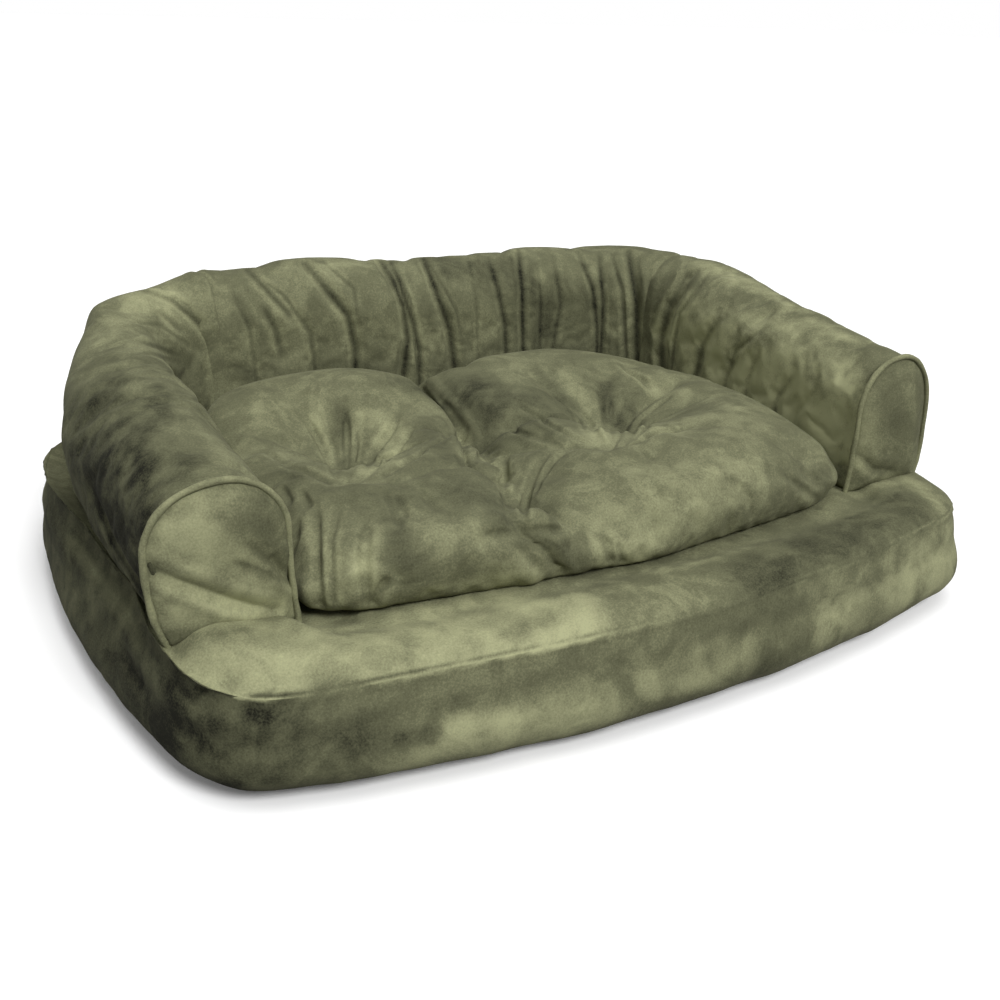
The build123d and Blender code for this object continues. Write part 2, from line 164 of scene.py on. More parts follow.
# a ray from the photograph's camera through one of its pixels
def throughPixel(tree, pixel):
    across = (pixel[0] - viewSet["centrePixel"][0]) / viewSet["focalPixels"]
    above = (viewSet["centrePixel"][1] - pixel[1]) / viewSet["focalPixels"]
    ray = (viewRight * across + viewUp * above - viewBack).normalized()
    return tree.ray_cast(viewPlace, ray)[0]


# a line drawn in the photograph, laid on the surface that it shows
def laidLine(tree, pixels, step=5):
    line = []
    for start, end in zip(pixels, pixels[1:]):
        count = max(1, int(math.dist(start, end) / step))
        for k in range(count):
            share = k / count
            line.append((start[0] + (end[0] - start[0]) * share, start[1] + (end[1] - start[1]) * share))
    line.append(pixels[-1])
    places = [throughPixel(tree, pixel) for pixel in line]
    return np.array([p for p in places if p is not None]).reshape(-1, 3)


# each point's distance to a line and its share of the way along it
def nearLine(places, line):
    best = np.full(len(places), 1e9)
    along = np.zeros(len(places))
    steps = np.linalg.norm(np.diff(line, axis=0), axis=1)
    total = max(steps.sum(), 1e-6)
    done = 0
    for start, end, length in zip(line, line[1:], steps):
        if length < 1e-7:
            continue
        way = (end - start) / length
        share = np.clip((places - start) @ way, 0, length)
        gap = np.linalg.norm(places - (start + share[:, None] * way), axis=1)
        closer = gap < best
        best[closer] = gap[closer]
        along[closer] = (done + share[closer]) / total
        done += length
    return best, along


# the points that lie within a reach of a line's box; none where the line misses the piece
def closeBy(places, line, reach):
    if len(line) < 2:
        return np.zeros(0, int)
    return np.where(((places > line.min(0) - reach) & (places < line.max(0) + reach)).all(1))[0]


def smoothStep(value):
    value = np.clip(value, 0, 1)
    return value * value * (3 - 2 * value)


# 0 up to a start, 1 from there on by a reach, smooth between
def ramp(value, start, reach):
    return smoothStep((value - start) / reach)


# how a crease is cut: how far it reaches, how its sides fall, where its lips stand, the share
# of its width that is held, and the share of its way over which its ends fade
creaseSet = {"reach": 4, "fall": 1.25, "lipPlace": 2.2, "heldWidth": 0.55, "fade": 0.3}


def fadedEnds(along, first, last):
    fade = creaseSet["fade"]
    return (first + (1 - first) * ramp(along, 0, fade)) * (last + (1 - last) * ramp(1 - along, 0, fade))


# presses folds into a piece; each fold is its line in pixels, width, depth and how much
# of its depth it keeps at the start and at the end; where folds meet the strongest counts
def pressFolds(piece, folds, tree, sharp=1.0, deep=1.0, lip=0.3):
    places, outward = points(piece), normals(piece)
    valleys, ridges, held = np.zeros((3, len(places)))
    for pixels, width, depth, first, last in folds:
        line = laidLine(tree, pixels)
        width = width * sharp
        near = closeBy(places, line, width * creaseSet["reach"])
        if not len(near):
            continue
        gap, along = nearLine(places[near], line)
        full = fadedEnds(along, first, last)
        cut = full * (depth * deep)
        lips = (gap - creaseSet["lipPlace"] * width) / width
        valleys[near] = np.maximum(valleys[near], cut * np.exp(-(gap / width) ** creaseSet["fall"]))
        ridges[near] = np.maximum(ridges[near], cut * np.exp(-lips ** 2))
        tight = np.exp(-(gap / (creaseSet["heldWidth"] * width)) ** 2)
        held[near] = np.maximum(held[near], full * tight)
    setPoints(piece, places + outward * (lip * ridges - valleys)[:, None])
    return held


# the cloth of a stuffed piece, and below which hold a point counts as free
clothSet = {"quality": 5, "mass": 0.3, "stretch": 15, "shear": 5, "pressure": 4.0, "free": 0.2}


# swells a piece as stuffed cloth: air pressure, a little spare cloth, and held places; the
# values are the piece's own frames, bend, spare and cap
def swell(piece, held, values, even=True):
    before, outward = points(piece), normals(piece)
    held = np.clip(held, 0, 1)
    group = piece.vertex_groups.new(name="held")
    levels = np.round(held, 1)
    for level in np.unique(levels):
        if level > 0:
            group.add([int(i) for i in np.where(levels == level)[0]], float(level), "REPLACE")
    modifier = piece.modifiers.new("cloth", "CLOTH")
    cloth = modifier.settings
    cloth.quality = clothSet["quality"]
    cloth.mass = clothSet["mass"]
    cloth.tension_stiffness = clothSet["stretch"]
    cloth.compression_stiffness = clothSet["stretch"]
    cloth.shear_stiffness = clothSet["shear"]
    cloth.bending_stiffness = values["bend"]
    cloth.use_pressure = True
    cloth.uniform_pressure_force = clothSet["pressure"]
    cloth.shrink_min = -values["spare"]
    cloth.vertex_group_mass = "held"
    cloth.pin_stiffness = 1
    cloth.effector_weights.gravity = 0
    modifier.collision_settings.use_collision = False
    modifier.collision_settings.use_self_collision = False
    modifier.point_cache.frame_start = 1
    modifier.point_cache.frame_end = values["frames"]
    scene = bpy.context.scene
    for step in range(1, values["frames"] + 1):
        scene.frame_set(step)
    shaped = piece.evaluated_get(bpy.context.evaluated_depsgraph_get())
    move = points(shaped) - before
    free = held < clothSet["free"]
    if even and free.any():  # the even part of the swelling goes, the folds stay
        out = (move * outward).sum(1)
        move -= outward * (np.median(out[free]) * (1 - held))[:, None]
    length = np.linalg.norm(move, axis=1)
    move *= np.minimum(1, values["cap"] / np.maximum(length, 1e-9))[:, None]
    piece.modifiers.remove(modifier)
    piece.vertex_groups.remove(group)
    scene.frame_set(1)
    setPoints(piece, before + move)
    print("swollen", piece.name, len(before), "points, most", round(float(length.max()) * 1000, 1), "mm")


def subdivideOnce(piece):
    modifier = piece.modifiers.new("smooth", "SUBSURF")
    modifier.levels = modifier.render_levels = 1
    applyAll(piece)
    shadeSmooth(piece)


def finishPiece(piece, body, material, replaced):
    piece.data.materials.clear()
    piece.data.materials.append(material)
    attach(piece, body)
    if replaced:
        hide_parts(*replaced)


def newMaterial(name):
    material = bpy.data.materials.new(name)
    material.use_nodes = True
    node = material.node_tree.nodes
    return material, node, material.node_tree.links.new, node["Principled BSDF"]


def setInputs(step, values):
    for name, value in values.items():
        step.inputs[name].default_value = value


# suede material: brushed patches, strokes, a mottle and a fine pile, each with the amount of its
# tone and its noise (scale, detail, roughness, distortion), and what the marks add
suedeSet = {"dark": (0.008, 0.0082, 0.0048), "middle": (0.125, 0.1275, 0.0720), "pale": (0.330, 0.336, 0.190),
            "roughness": 0.92, "specular": 0.15,
            "sheen": 0.05, "sheenRoughness": 0.45, "sheenTint": (0.76, 0.76, 0.56, 1),
            "patches": 0.38, "patchNoise": (5, 3, 0.5, 0.35),
            "strokes": 0.09, "strokeNoise": (16, 5, 0.6, 1.3), "strokeEdge": (0.44, 0.56),
            "mottle": 0.31, "mottleNoise": (45, 6, 0.62, 0.3),
            "pile": 0.50, "pileNoise": (520, 3, 0.65, 0), "palePlace": 0.95,
            "creaseNoise": (55, 4, 0.55, 0.6), "creaseBump": 0.7, "pileBump": 0.12,
            "bump": 0.22, "bumpHeight": 0.003,
            # what the marks add: ragged edges, painted shade down creases and a painted highlight on crease
            # lips
            "ragged": 0.8, "raggedScale": 26, "foldShade": 0.34, "foldWidth": 0.5, "fullDepth": 0.007,
            "lipHighlight": 0.12, "lipPlace": 1.4, "lipWidth": 0.6, "mostTone": 0.42}


def makeSuede(name, seed, lighter=0.0):
    material, node, link, shader = newMaterial(name)
    place = node.new("ShaderNodeTexCoord")
    moved = node.new("ShaderNodeMapping")
    moved.inputs["Location"].default_value = (seed * 1.7, seed * 0.9, seed * 2.3)
    link(place.outputs["Object"], moved.inputs["Vector"])

    def noiseNode(values):
        texture = node.new("ShaderNodeTexNoise")
        setInputs(texture, dict(zip(("Scale", "Detail", "Roughness", "Distortion"), values)))
        link(moved.outputs["Vector"], texture.inputs["Vector"])
        return texture

    def mathNode(operation, first, second):
        step = node.new("ShaderNodeMath")
        step.operation = operation
        for socket, value in zip(step.inputs, (first, second)):
            if isinstance(value, (int, float)):
                socket.default_value = value
            else:
                link(value, socket)
        return step.outputs[0]

    def swing(source, amount):
        return mathNode("MULTIPLY", mathNode("SUBTRACT", source, 0.5), amount)

    patches = noiseNode(suedeSet["patchNoise"])
    strokes = noiseNode(suedeSet["strokeNoise"])
    edged = node.new("ShaderNodeMapRange")
    edged.interpolation_type = "SMOOTHSTEP"
    setInputs(edged, dict(zip(("From Min", "From Max"), suedeSet["strokeEdge"])))
    link(strokes.outputs["Fac"], edged.inputs["Value"])
    mottle = noiseNode(suedeSet["mottleNoise"])
    pile = noiseNode(suedeSet["pileNoise"])
    # the marks' tone: partly the nap, partly painted light and shade, with painted crease shade and lip
    # highlights
    napAndPaintedLight = node.new("ShaderNodeAttribute")
    napAndPaintedLight.attribute_name = "napAndPaintedLight"
    tone = swing(patches.outputs["Fac"], suedeSet["patches"])
    for source, amount in ((edged.outputs["Result"], "strokes"), (mottle.outputs["Fac"], "mottle"),
                           (pile.outputs["Fac"], "pile")):
        tone = mathNode("ADD", tone, swing(source, suedeSet[amount]))
    tone = mathNode("ADD", tone, napAndPaintedLight.outputs["Fac"])
    tone = mathNode("ADD", tone, 0.5 + lighter)
    colours = node.new("ShaderNodeValToRGB")
    dark, pale = colours.color_ramp.elements
    dark.position, pale.position = 0, suedeSet["palePlace"]
    dark.color, pale.color = (*suedeSet["dark"], 1), (*suedeSet["pale"], 1)
    colours.color_ramp.elements.new(0.5).color = (*suedeSet["middle"], 1)
    link(tone, colours.inputs["Fac"])
    link(colours.outputs["Color"], shader.inputs["Base Color"])
    setInputs(shader, {"Roughness": suedeSet["roughness"], "Specular IOR Level": suedeSet["specular"],
                       "Sheen Weight": suedeSet["sheen"], "Sheen Roughness": suedeSet["sheenRoughness"],
                       "Sheen Tint": suedeSet["sheenTint"]})
    creases = noiseNode(suedeSet["creaseNoise"])
    height = mathNode("ADD", mathNode("MULTIPLY", creases.outputs["Fac"], suedeSet["creaseBump"]),
                      mathNode("MULTIPLY", pile.outputs["Fac"], suedeSet["pileBump"]))
    bump = node.new("ShaderNodeBump")
    setInputs(bump, {"Strength": suedeSet["bump"], "Distance": suedeSet["bumpHeight"]})
    link(height, bump.inputs["Height"])
    link(bump.outputs["Normal"], shader.inputs["Normal"])
    return material


# brush marks (pixels, radius, strength) laid on the surface with ragged edges, partly the nap and
# partly painted light and shade; creases get painted shade and their lips a painted highlight
def brushTone(places, marks, tree, folds=()):
    tone, dark, pale = np.zeros((3, len(places)))
    ragged = smoothField(places, suedeSet["raggedScale"], 3, 3)
    for pixels, radius, strength in marks:
        line = laidLine(tree, pixels)
        near = closeBy(places, line, radius * 2)
        if len(near):
            gap = nearLine(places[near], line)[0] + radius * suedeSet["ragged"] * ragged[near]
            tone[near] += strength * np.exp(-(np.maximum(gap, 0) / radius) ** 2)
    for pixels, width, depth, first, last in folds:
        line = laidLine(tree, pixels)
        near = closeBy(places, line, width * creaseSet["reach"])
        if not len(near):
            continue
        gap, along = nearLine(places[near], line)
        full = fadedEnds(along, first, last) * min(1, depth / suedeSet["fullDepth"])
        lips = (gap - suedeSet["lipPlace"] * width) / (suedeSet["lipWidth"] * width)
        dark[near] = np.maximum(dark[near], full * np.exp(-(gap / (suedeSet["foldWidth"] * width)) ** 2))
        pale[near] = np.maximum(pale[near], full * np.exp(-lips ** 2))
    # painted shade down each crease and a painted highlight along its lips
    tone += suedeSet["lipHighlight"] * pale * (1 - dark) - suedeSet["foldShade"] * dark
    return np.clip(tone, -suedeSet["mostTone"], suedeSet["mostTone"])


# stores the marks' tone, partly nap and partly painted light and shade
def layNapAndPaintedLight(piece, tone):
    layer = piece.data.attributes.new("napAndPaintedLight", "FLOAT", "POINT")
    layer.data.foreach_set("value", tone)


# base pad: sizes in metres; a pair says where something begins and over how far it grows;
# leftPull and leftRise say from front to rear how far the seam goes in and up by the left arm
baseSet = {"around": 720, "sideRings": 26, "ledgeRings": 30, "ledgeReach": 0.135, "ledgeSpread": 1.35,
           "innerRings": 7, "underShares": (0.3, 0.8, 0.94, 0.985), "foot": 0.0006,
           "seamHeight": 0.106, "seamRoom": 0.0008, "ledgeHeight": 0.126, "crowding": 0.10,
           "shiftRight": 0.010, "shiftBack": 0.0047, "backBegins": (-0.1, 0.4),
           "droopPlace": (-0.43, -0.30), "droopReach": 0.14, "droop": 0.012, "droopAloft": (0.02, 0.09),
           "halfWide": 0.47, "halfDeep": 0.36, "droopInside": (0.97, 0.10),
           "seamDepth": 0.0022, "seamWidth": 0.0040, "pucker": 0.45, "puckers": (150, 37),
           "waves": 0.0028, "waveScale": 9, "ripples": 0.0008, "rippleScale": 24,
           "aboveBand": 0.085, "plainRear": (0.30, 0.06), "aloft": (0, 0.02),
           "crownReach": 0.024, "puff": 0.006, "armPuff": 0.012, "besideArm": (0.33, 0.04),
           "puffIn": 0.045, "puffFades": ((0.055, 0.045), (0.088, 0.040)),
           "frontPart": (0.16, 0.06), "humpIn": 0.03, "humpEnds": (0.10, 0.03),
           "leftHumps": ((0.008, (0.24, 0.12)), (0.012, (0.37, 0.06))),
           "bandPush": 0.004, "bandPlace": 0.096, "bandWidth": 0.014, "bandSlope": 0.6,
           "leftPart": (0.36, 0.09), "upperPart": (0.35, 0.65), "seamRise": 0.009,
           "leftPull": ((-0.40, -0.006), (-0.25, -0.010), (-0.20, -0.004), (-0.12, 0.018), (0.05, 0.018),
                        (0.18, -0.004)),
           "leftRise": ((-0.40, 0.0), (-0.34, 0.004), (-0.30, 0.013), (-0.25, 0.023), (-0.20, 0.026),
                        (0.0, 0.020), (0.18, 0.024), (0.34, 0.018), (0.40, 0.0)),
           "zipHalf": 0.2205, "zipSlot": 0.0112, "zipDepth": 0.009, "zipHeight": 0.044,
           "zipLip": 0.0007, "zipRoom": 0.0012, "napTurn": (0.42, 0.16), "fill": 0.8}


# the outermost point of a level in one direction, found from well outside
def fromOutside(tree, angle, height, middle=Vector((0, 0, 0))):
    way = Vector((math.cos(angle), math.sin(angle), 0))
    level = middle + Vector((0, 0, height))
    hit = tree.ray_cast(level + way * 2, -way)[0]
    return hit if hit is not None else level + way * 0.4


# angles that share out a level's outline evenly by its length
def outlineAngles(tree, count, height, middle=Vector((0, 0, 0)), steps=2400):
    fine = [k * 2 * math.pi / steps for k in range(steps + 1)]
    ring = [fromOutside(tree, angle, height, middle) for angle in fine]
    run = np.concatenate([[0], np.cumsum([(b - a).length for a, b in zip(ring, ring[1:])])])
    return np.interp(np.arange(count) / count * run[-1], run, fine)


# one closed skin through rings of points that run from under its middle to over its middle
def skinRings(name, rings, underMiddle, overMiddle):
    count = len(rings[0])
    places = [p for ring in rings for p in ring] + [underMiddle, overMiddle]
    underside, topside = len(places) - 2, len(places) - 1
    faces = []
    for k in range(count):
        nextOne = (k + 1) % count
        for row in range(0, (len(rings) - 1) * count, count):
            faces.append((row + k, row + nextOne, row + count + nextOne, row + count + k))
        faces.append((underside, nextOne, k))
        faces.append((topside, (len(rings) - 1) * count + k, (len(rings) - 1) * count + nextOne))
    mesh = bpy.data.meshes.new(name)
    mesh.from_pydata(places, [], faces)
    mesh.validate()
    piece = addObject(name, mesh)
    onlySelect(piece)
    bpy.ops.object.mode_set(mode="EDIT")
    bpy.ops.mesh.select_all(action="SELECT")
    bpy.ops.mesh.normals_make_consistent(inside=False)
    bpy.ops.object.mode_set(mode="OBJECT")
    return piece


# the band's upper half: it stands up to the seam, which is drawn in and up beside the left arm
def drawnSeam(place, share):
    left = float(ramp(-place.x, *baseSet["leftPart"]))
    upper = float(ramp(share, *baseSet["upperPart"]))
    pull, lift = (float(np.interp(place.y, *zip(*baseSet[key]))) for key in ("leftPull", "leftRise"))
    reach = 1 - pull * left * upper / place.xy.length
    rise = (baseSet["seamRise"] + lift * left) * upper
    return Vector((place.x * reach, place.y * reach, place.z + rise))


# the ledge: it rises in a curve from the sewn edge and is puffed where nothing lies on it,
# more in front of the arms, and with humps at the left
def ledgePoint(edge, inset):
    reach = 1 - inset / edge.xy.length
    x, y = edge.x * reach, edge.y * reach
    rise = 1 - (1 - min(inset / baseSet["crownReach"], 1)) ** 2
    beside = float(ramp(abs(x), *baseSet["besideArm"]))
    start, end = (plain + more * beside for plain, more in baseSet["puffFades"])
    full = float(ramp(inset, 0, baseSet["puffIn"]) * (1 - ramp(inset, start, end - start)))
    front = float(ramp(-y, *baseSet["frontPart"]))
    puff = (baseSet["puff"] * (1 - beside) + baseSet["armPuff"] * beside) * full * front
    wide = float(ramp(inset, 0, baseSet["humpIn"]) * (1 - ramp(inset, *baseSet["humpEnds"])))
    puff += sum(hump * float(ramp(-x, *part)) for hump, part in baseSet["leftHumps"]) * wide * front
    return Vector((x, y, edge.z + (baseSet["ledgeHeight"] - edge.z) * rise + puff))


# heights of the band's rings, closer together at its foot and its seam, with the zip's lips
# among them, and which of them the slot sets in
def bandHeights():
    foot, top = baseSet["foot"], baseSet["seamHeight"] - baseSet["seamRoom"]
    shares = [k / baseSet["sideRings"] for k in range(baseSet["sideRings"] + 1)]
    full, crowd = 2 * math.pi, baseSet["crowding"]
    heights = [foot + top * (share + crowd * math.sin(full * share) / full) for share in shares]
    level, half = baseSet["zipHeight"], baseSet["zipSlot"] / 2
    lips = [level + side * (half + more) for side in (-1, 1) for more in (0, baseSet["zipLip"])]
    heights = [h for h in heights if min(abs(h - lip) for lip in lips) > baseSet["zipRoom"]]
    heights = sorted(heights + lips)
    return heights, [k for k, h in enumerate(heights) if abs(h - level) < half + baseSet["zipLip"] / 2]


def makeBase(material):
    shell = copyNodes("basePad", "base_side_band", "base_top_panel")
    tree = treeOf(shell)
    bpy.data.objects.remove(shell)
    angles = outlineAngles(tree, baseSet["around"], baseSet["zipHeight"])
    foot = [fromOutside(tree, angle, baseSet["foot"]) for angle in angles]
    rings = [[Vector((p.x * share, p.y * share, 0)) for p in foot] for share in baseSet["underShares"]]
    heights, lips = bandHeights()
    slot = [len(rings) + k for k in lips]
    for height in heights:
        share = (height - baseSet["foot"]) / (baseSet["seamHeight"] - baseSet["seamRoom"])
        rings.append([drawnSeam(fromOutside(tree, angle, height), share) for angle in angles])
    seam = rings[-1]
    for k in range(1, baseSet["ledgeRings"] + 1):
        inset = baseSet["ledgeReach"] * (k / baseSet["ledgeRings"]) ** baseSet["ledgeSpread"]
        rings.append([ledgePoint(p, inset) for p in seam])
    last = rings[-1]
    for k in range(1, baseSet["innerRings"] + 1):
        share = 1 - k / (baseSet["innerRings"] + 0.4)
        rings.append([Vector((p.x * share, p.y * share, baseSet["ledgeHeight"])) for p in last])
    piece = skinRings("basePad", rings, Vector((0, 0, 0)), Vector((0, 0, baseSet["ledgeHeight"])))
    shapeBase(piece, np.array(seam))
    openZip(piece, slot)
    tree = treeOf(piece)
    places, outward = points(piece), normals(piece)
    onLedge = ramp(outward[:, 2], *baseSet["napTurn"]) * (places[:, 2] > baseSet["aboveBand"])
    # ledge and band marks, partly the nap and partly painted light and shade
    upper = brushTone(places, ledgeMarks, tree)
    layNapAndPaintedLight(piece, upper * onLedge + brushTone(places, bandMarks, tree, baseFolds) * (1 - onLedge))
    shadeSmooth(piece)
    finishPiece(piece, "base", material,
                ("base_side_band", "base_top_panel", "base_bottom_panel", "base_filling"))
    print("base pad made,", len(piece.data.vertices), "points")


# the seam's groove with its puckers, soft waves, the droop at the front left, and the folds
def shapeBase(piece, seam):
    places, outward = points(piece), normals(piece)
    height = places[:, 2]
    above = height > baseSet["aboveBand"]
    gap, along = nearLine(places[above], np.vstack([seam, seam[:1]]))
    groove = np.zeros(len(places))
    many, few = (np.sin(along * 2 * math.pi * count) for count in baseSet["puckers"])
    groove[above] = np.exp(-(gap / baseSet["seamWidth"]) ** 2) * (1 + baseSet["pucker"] * many * few)
    wave = (smoothField(places, baseSet["waveScale"], 1) * baseSet["waves"]
            + smoothField(places, baseSet["rippleScale"], 2) * baseSet["ripples"])
    rear = ramp(places[:, 1], *baseSet["plainRear"])
    move = wave * ramp(height, *baseSet["aloft"]) * (1 - rear) - baseSet["seamDepth"] * groove
    places = places + outward * move[:, None]
    away = np.hypot(*(places[:, :2] - baseSet["droopPlace"]).T)
    inward = np.hypot(places[:, 0] / baseSet["halfWide"], places[:, 1] / baseSet["halfDeep"])
    inside, over = baseSet["droopInside"]
    edge = 1 - smoothStep((inside - inward) / over)
    places[:, 2] -= (baseSet["droop"] * np.exp(-(away / baseSet["droopReach"]) ** 2) * edge
                     * ramp(places[:, 2], *baseSet["droopAloft"]))
    near = np.exp(-((height - baseSet["bandPlace"]) / baseSet["bandWidth"]) ** 2)
    flat = outward * np.array([1, 1, 0]) * (outward[:, 2] < baseSet["bandSlope"])[:, None]
    places += flat * (baseSet["bandPush"] * near)[:, None]
    places[:, 0] += baseSet["shiftRight"]
    places[:, 1] += baseSet["shiftBack"] * (1 - ramp(places[:, 1], *baseSet["backBegins"]))
    places[:, 2] = np.maximum(places[:, 2], 0)
    setPoints(piece, places)
    pressFolds(piece, baseFolds, treeOf(piece), lip=0.25)
    low = points(piece)
    low[:, 2] = np.maximum(low[:, 2], 0)
    setPoints(piece, low)


# the slot behind which the zip is sewn: rings of the band set in at the rear
def openZip(piece, slot):
    places = points(piece)
    for ring in slot:
        rows = np.arange(ring * baseSet["around"], (ring + 1) * baseSet["around"])
        slit = (np.abs(places[rows, 0]) < baseSet["zipHalf"]) & (places[rows, 1] > baseSet["plainRear"][0])
        places[rows[slit], 1] -= baseSet["zipDepth"]
    setPoints(piece, places)


# folds: pixels of the photograph, width, depth, share kept at each end
baseFolds = [
    ([(168, 677), (183, 694), (200, 708), (217, 717)], 0.0045, 0.0025, 0.0, 0.0),
    ([(192, 692), (206, 690)], 0.0040, 0.004, 0.2, 0.8),
    ([(250, 716), (252, 706)], 0.0040, 0.003, 0.0, 0.8),
    ([(283, 716), (284, 706)], 0.0040, 0.002, 0.0, 0.8),
    ([(118, 640), (134, 672), (150, 696)], 0.0070, 0.003, 0.0, 0.0),
]

# marks: pixels of the photograph, radius, and how much paler or darker the surface is painted there, partly
# for the nap and partly as painted light and shade
ledgeMarks = [
    ([(180, 655), (300, 648), (430, 632), (520, 615)], 0.075, 0.15),
    ([(215, 690), (300, 692), (430, 680), (560, 655)], 0.050, 0.18),
    ([(560, 640), (640, 615), (700, 590)], 0.050, 0.10),
    ([(640, 575), (700, 562), (748, 548)], 0.007, 0.12),
    ([(590, 560), (640, 552)], 0.006, 0.10),
    ([(585, 590), (625, 580)], 0.013, -0.10),
    ([(190, 640), (232, 632)], 0.010, -0.16),
    ([(165, 632), (180, 655)], 0.008, -0.12),
    ([(760, 582), (830, 548), (905, 512)], 0.036, -0.22),
    ([(860, 505), (893, 497)], 0.012, -0.14),
    ([(915, 485), (934, 500), (948, 522)], 0.014, 0.20),
    ([(868, 488), (905, 480)], 0.008, 0.12),
]
bandMarks = [
    # painted shade on the base's left side, which faces away from the lamps, together with darker nap
    ([(50, 520), (75, 600), (120, 690), (165, 745)], 0.085, -0.35),
    ([(60, 470), (52, 560), (80, 650)], 0.030, 0.06),
    ([(180, 715), (215, 745), (250, 770)], 0.050, -0.15),
    ([(190, 782), (250, 790)], 0.014, -0.18),
    ([(285, 722), (330, 738), (398, 742)], 0.022, -0.20),
    ([(400, 738), (436, 733)], 0.007, -0.26),
    ([(330, 762), (362, 752)], 0.012, -0.14),
    ([(436, 712), (500, 701)], 0.010, -0.16),
    ([(405, 765), (480, 745), (560, 728), (610, 715)], 0.030, 0.26),
    ([(455, 726), (520, 712)], 0.010, 0.16),
    ([(205, 708), (240, 716)], 0.012, 0.06),
    ([(525, 690), (575, 668)], 0.016, -0.06),
    ([(612, 660), (628, 690), (640, 705)], 0.013, -0.14),
    ([(640, 655), (655, 690)], 0.010, 0.16),
    ([(680, 690), (712, 676), (745, 655)], 0.014, 0.20),
    ([(700, 650), (722, 640)], 0.008, 0.16),
    ([(765, 668), (800, 650)], 0.014, -0.14),
    ([(735, 622), (800, 600)], 0.012, -0.06),
    ([(830, 625), (890, 590), (948, 560)], 0.034, 0.26),
    ([(868, 585), (884, 612)], 0.006, -0.12),
    ([(915, 560), (925, 590)], 0.006, -0.10),
]

backFolds = [
    ([(247, 270), (272, 296), (288, 313), (298, 329)], 0.006, 0.005, 0.6, 0.0),
    ([(262, 306), (275, 329), (282, 356)], 0.006, 0.005, 0.1, 0.5),
    ([(305, 264), (332, 296), (348, 316), (355, 349), (355, 373)], 0.007, 0.009, 0.6, 1.0),
    ([(378, 257), (393, 280), (403, 306), (408, 339), (403, 376)], 0.007, 0.011, 0.8, 1.0),
    ([(388, 256), (400, 283), (413, 323), (419, 353), (419, 376)], 0.006, 0.008, 0.5, 1.0),
    ([(421, 254), (436, 290), (449, 328), (454, 362)], 0.007, 0.010, 0.8, 0.9),
    ([(486, 252), (498, 290), (505, 325), (506, 356)], 0.006, 0.006, 0.4, 0.8),
    ([(518, 250), (522, 290), (523, 350)], 0.006, 0.007, 0.5, 0.9),
    ([(553, 256), (561, 303), (553, 345)], 0.006, 0.004, 0.2, 0.8),
    ([(578, 252), (593, 290), (597, 324), (597, 349)], 0.006, 0.006, 0.3, 0.9),
    ([(599, 252), (603, 303), (601, 349)], 0.006, 0.006, 0.3, 0.9),
    ([(628, 252), (636, 303), (637, 362)], 0.007, 0.008, 0.6, 0.9),
    ([(256, 276), (283, 295), (310, 332), (316, 376)], 0.004, 0.004, 0.1, 0.9),
    ([(321, 260), (354, 289), (358, 327)], 0.004, 0.003, 0.4, 0.0),
    ([(429, 262), (456, 311), (463, 345)], 0.004, 0.003, 0.2, 0.3),
    ([(392, 262), (410, 300), (415, 350)], 0.004, 0.004, 0.2, 0.9),
    ([(468, 256), (476, 300), (478, 350)], 0.004, 0.002, 0.3, 0.6),
    ([(537, 262), (541, 300), (540, 338)], 0.004, 0.003, 0.2, 0.6),
    ([(611, 253), (622, 290), (626, 355)], 0.004, 0.004, 0.3, 0.9),
    ([(652, 270), (648, 310), (648, 360)], 0.004, 0.004, 0.3, 0.9),
    ([(232, 292), (250, 330), (256, 380)], 0.004, 0.003, 0.2, 0.9),
]
backMarks = [
    ([(430, 300), (500, 295), (600, 300)], 0.040, -0.09),
    ([(238, 298), (247, 318)], 0.010, -0.20),
    ([(290, 268), (360, 262), (410, 257)], 0.012, 0.12),
    ([(430, 258), (470, 272), (530, 268)], 0.020, -0.16),
    ([(390, 262), (392, 275)], 0.012, -0.12),
    ([(250, 385), (330, 380), (400, 372), (480, 362), (560, 350), (630, 352)], 0.020, -0.16),
    ([(300, 330), (305, 365)], 0.014, 0.06),
    ([(468, 300), (488, 340)], 0.016, 0.08),
    ([(535, 290), (548, 330)], 0.012, -0.08),
    ([(500, 250), (580, 248), (640, 252)], 0.008, 0.10),
    ([(612, 300), (616, 340)], 0.012, 0.10),
    ([(585, 265), (592, 300)], 0.012, -0.08),
]
leftArmFolds = [
    ([(143, 290), (172, 300), (199, 323), (217, 346), (224, 373), (220, 392)], 0.006, 0.006, 0.4, 0.6),
    ([(126, 339), (159, 347), (186, 359)], 0.006, 0.004, 0.0, 0.0),
    ([(109, 356), (150, 353), (190, 365)], 0.006, 0.003, 0.0, 0.0),
    ([(156, 308), (186, 336)], 0.006, 0.003, 0.0, 0.0),
    ([(160, 288), (188, 306), (208, 340), (214, 375)], 0.004, 0.003, 0.2, 0.4),
    ([(120, 320), (160, 325), (196, 350)], 0.004, 0.002, 0.0, 0.0),
    ([(100, 375), (150, 366), (195, 380)], 0.004, 0.002, 0.0, 0.0),
    ([(112, 400), (160, 392), (205, 402)], 0.004, 0.002, 0.0, 0.0),
    ([(88, 478), (110, 540), (140, 590), (160, 622)], 0.007, 0.004, 0.0, 0.4),
    ([(100, 470), (122, 520), (150, 570)], 0.006, 0.002, 0.0, 0.0),
]
leftArmMarks = [
    # painted shade on the left arm's outer side, together with darker nap
    ([(82, 430), (100, 490), (132, 550), (158, 605)], 0.060, -0.32),
    ([(105, 500), (128, 550), (152, 600)], 0.028, -0.16),
    ([(110, 395), (150, 430), (190, 460)], 0.028, -0.07),
    ([(105, 340), (130, 305), (165, 297)], 0.022, 0.14),
    ([(150, 360), (190, 400)], 0.022, -0.06),
    ([(215, 440), (255, 478)], 0.020, 0.10),
    ([(95, 365), (110, 350)], 0.015, -0.10),
    ([(210, 350), (216, 385)], 0.014, 0.12),
    ([(140, 470), (165, 480)], 0.020, -0.08),
]
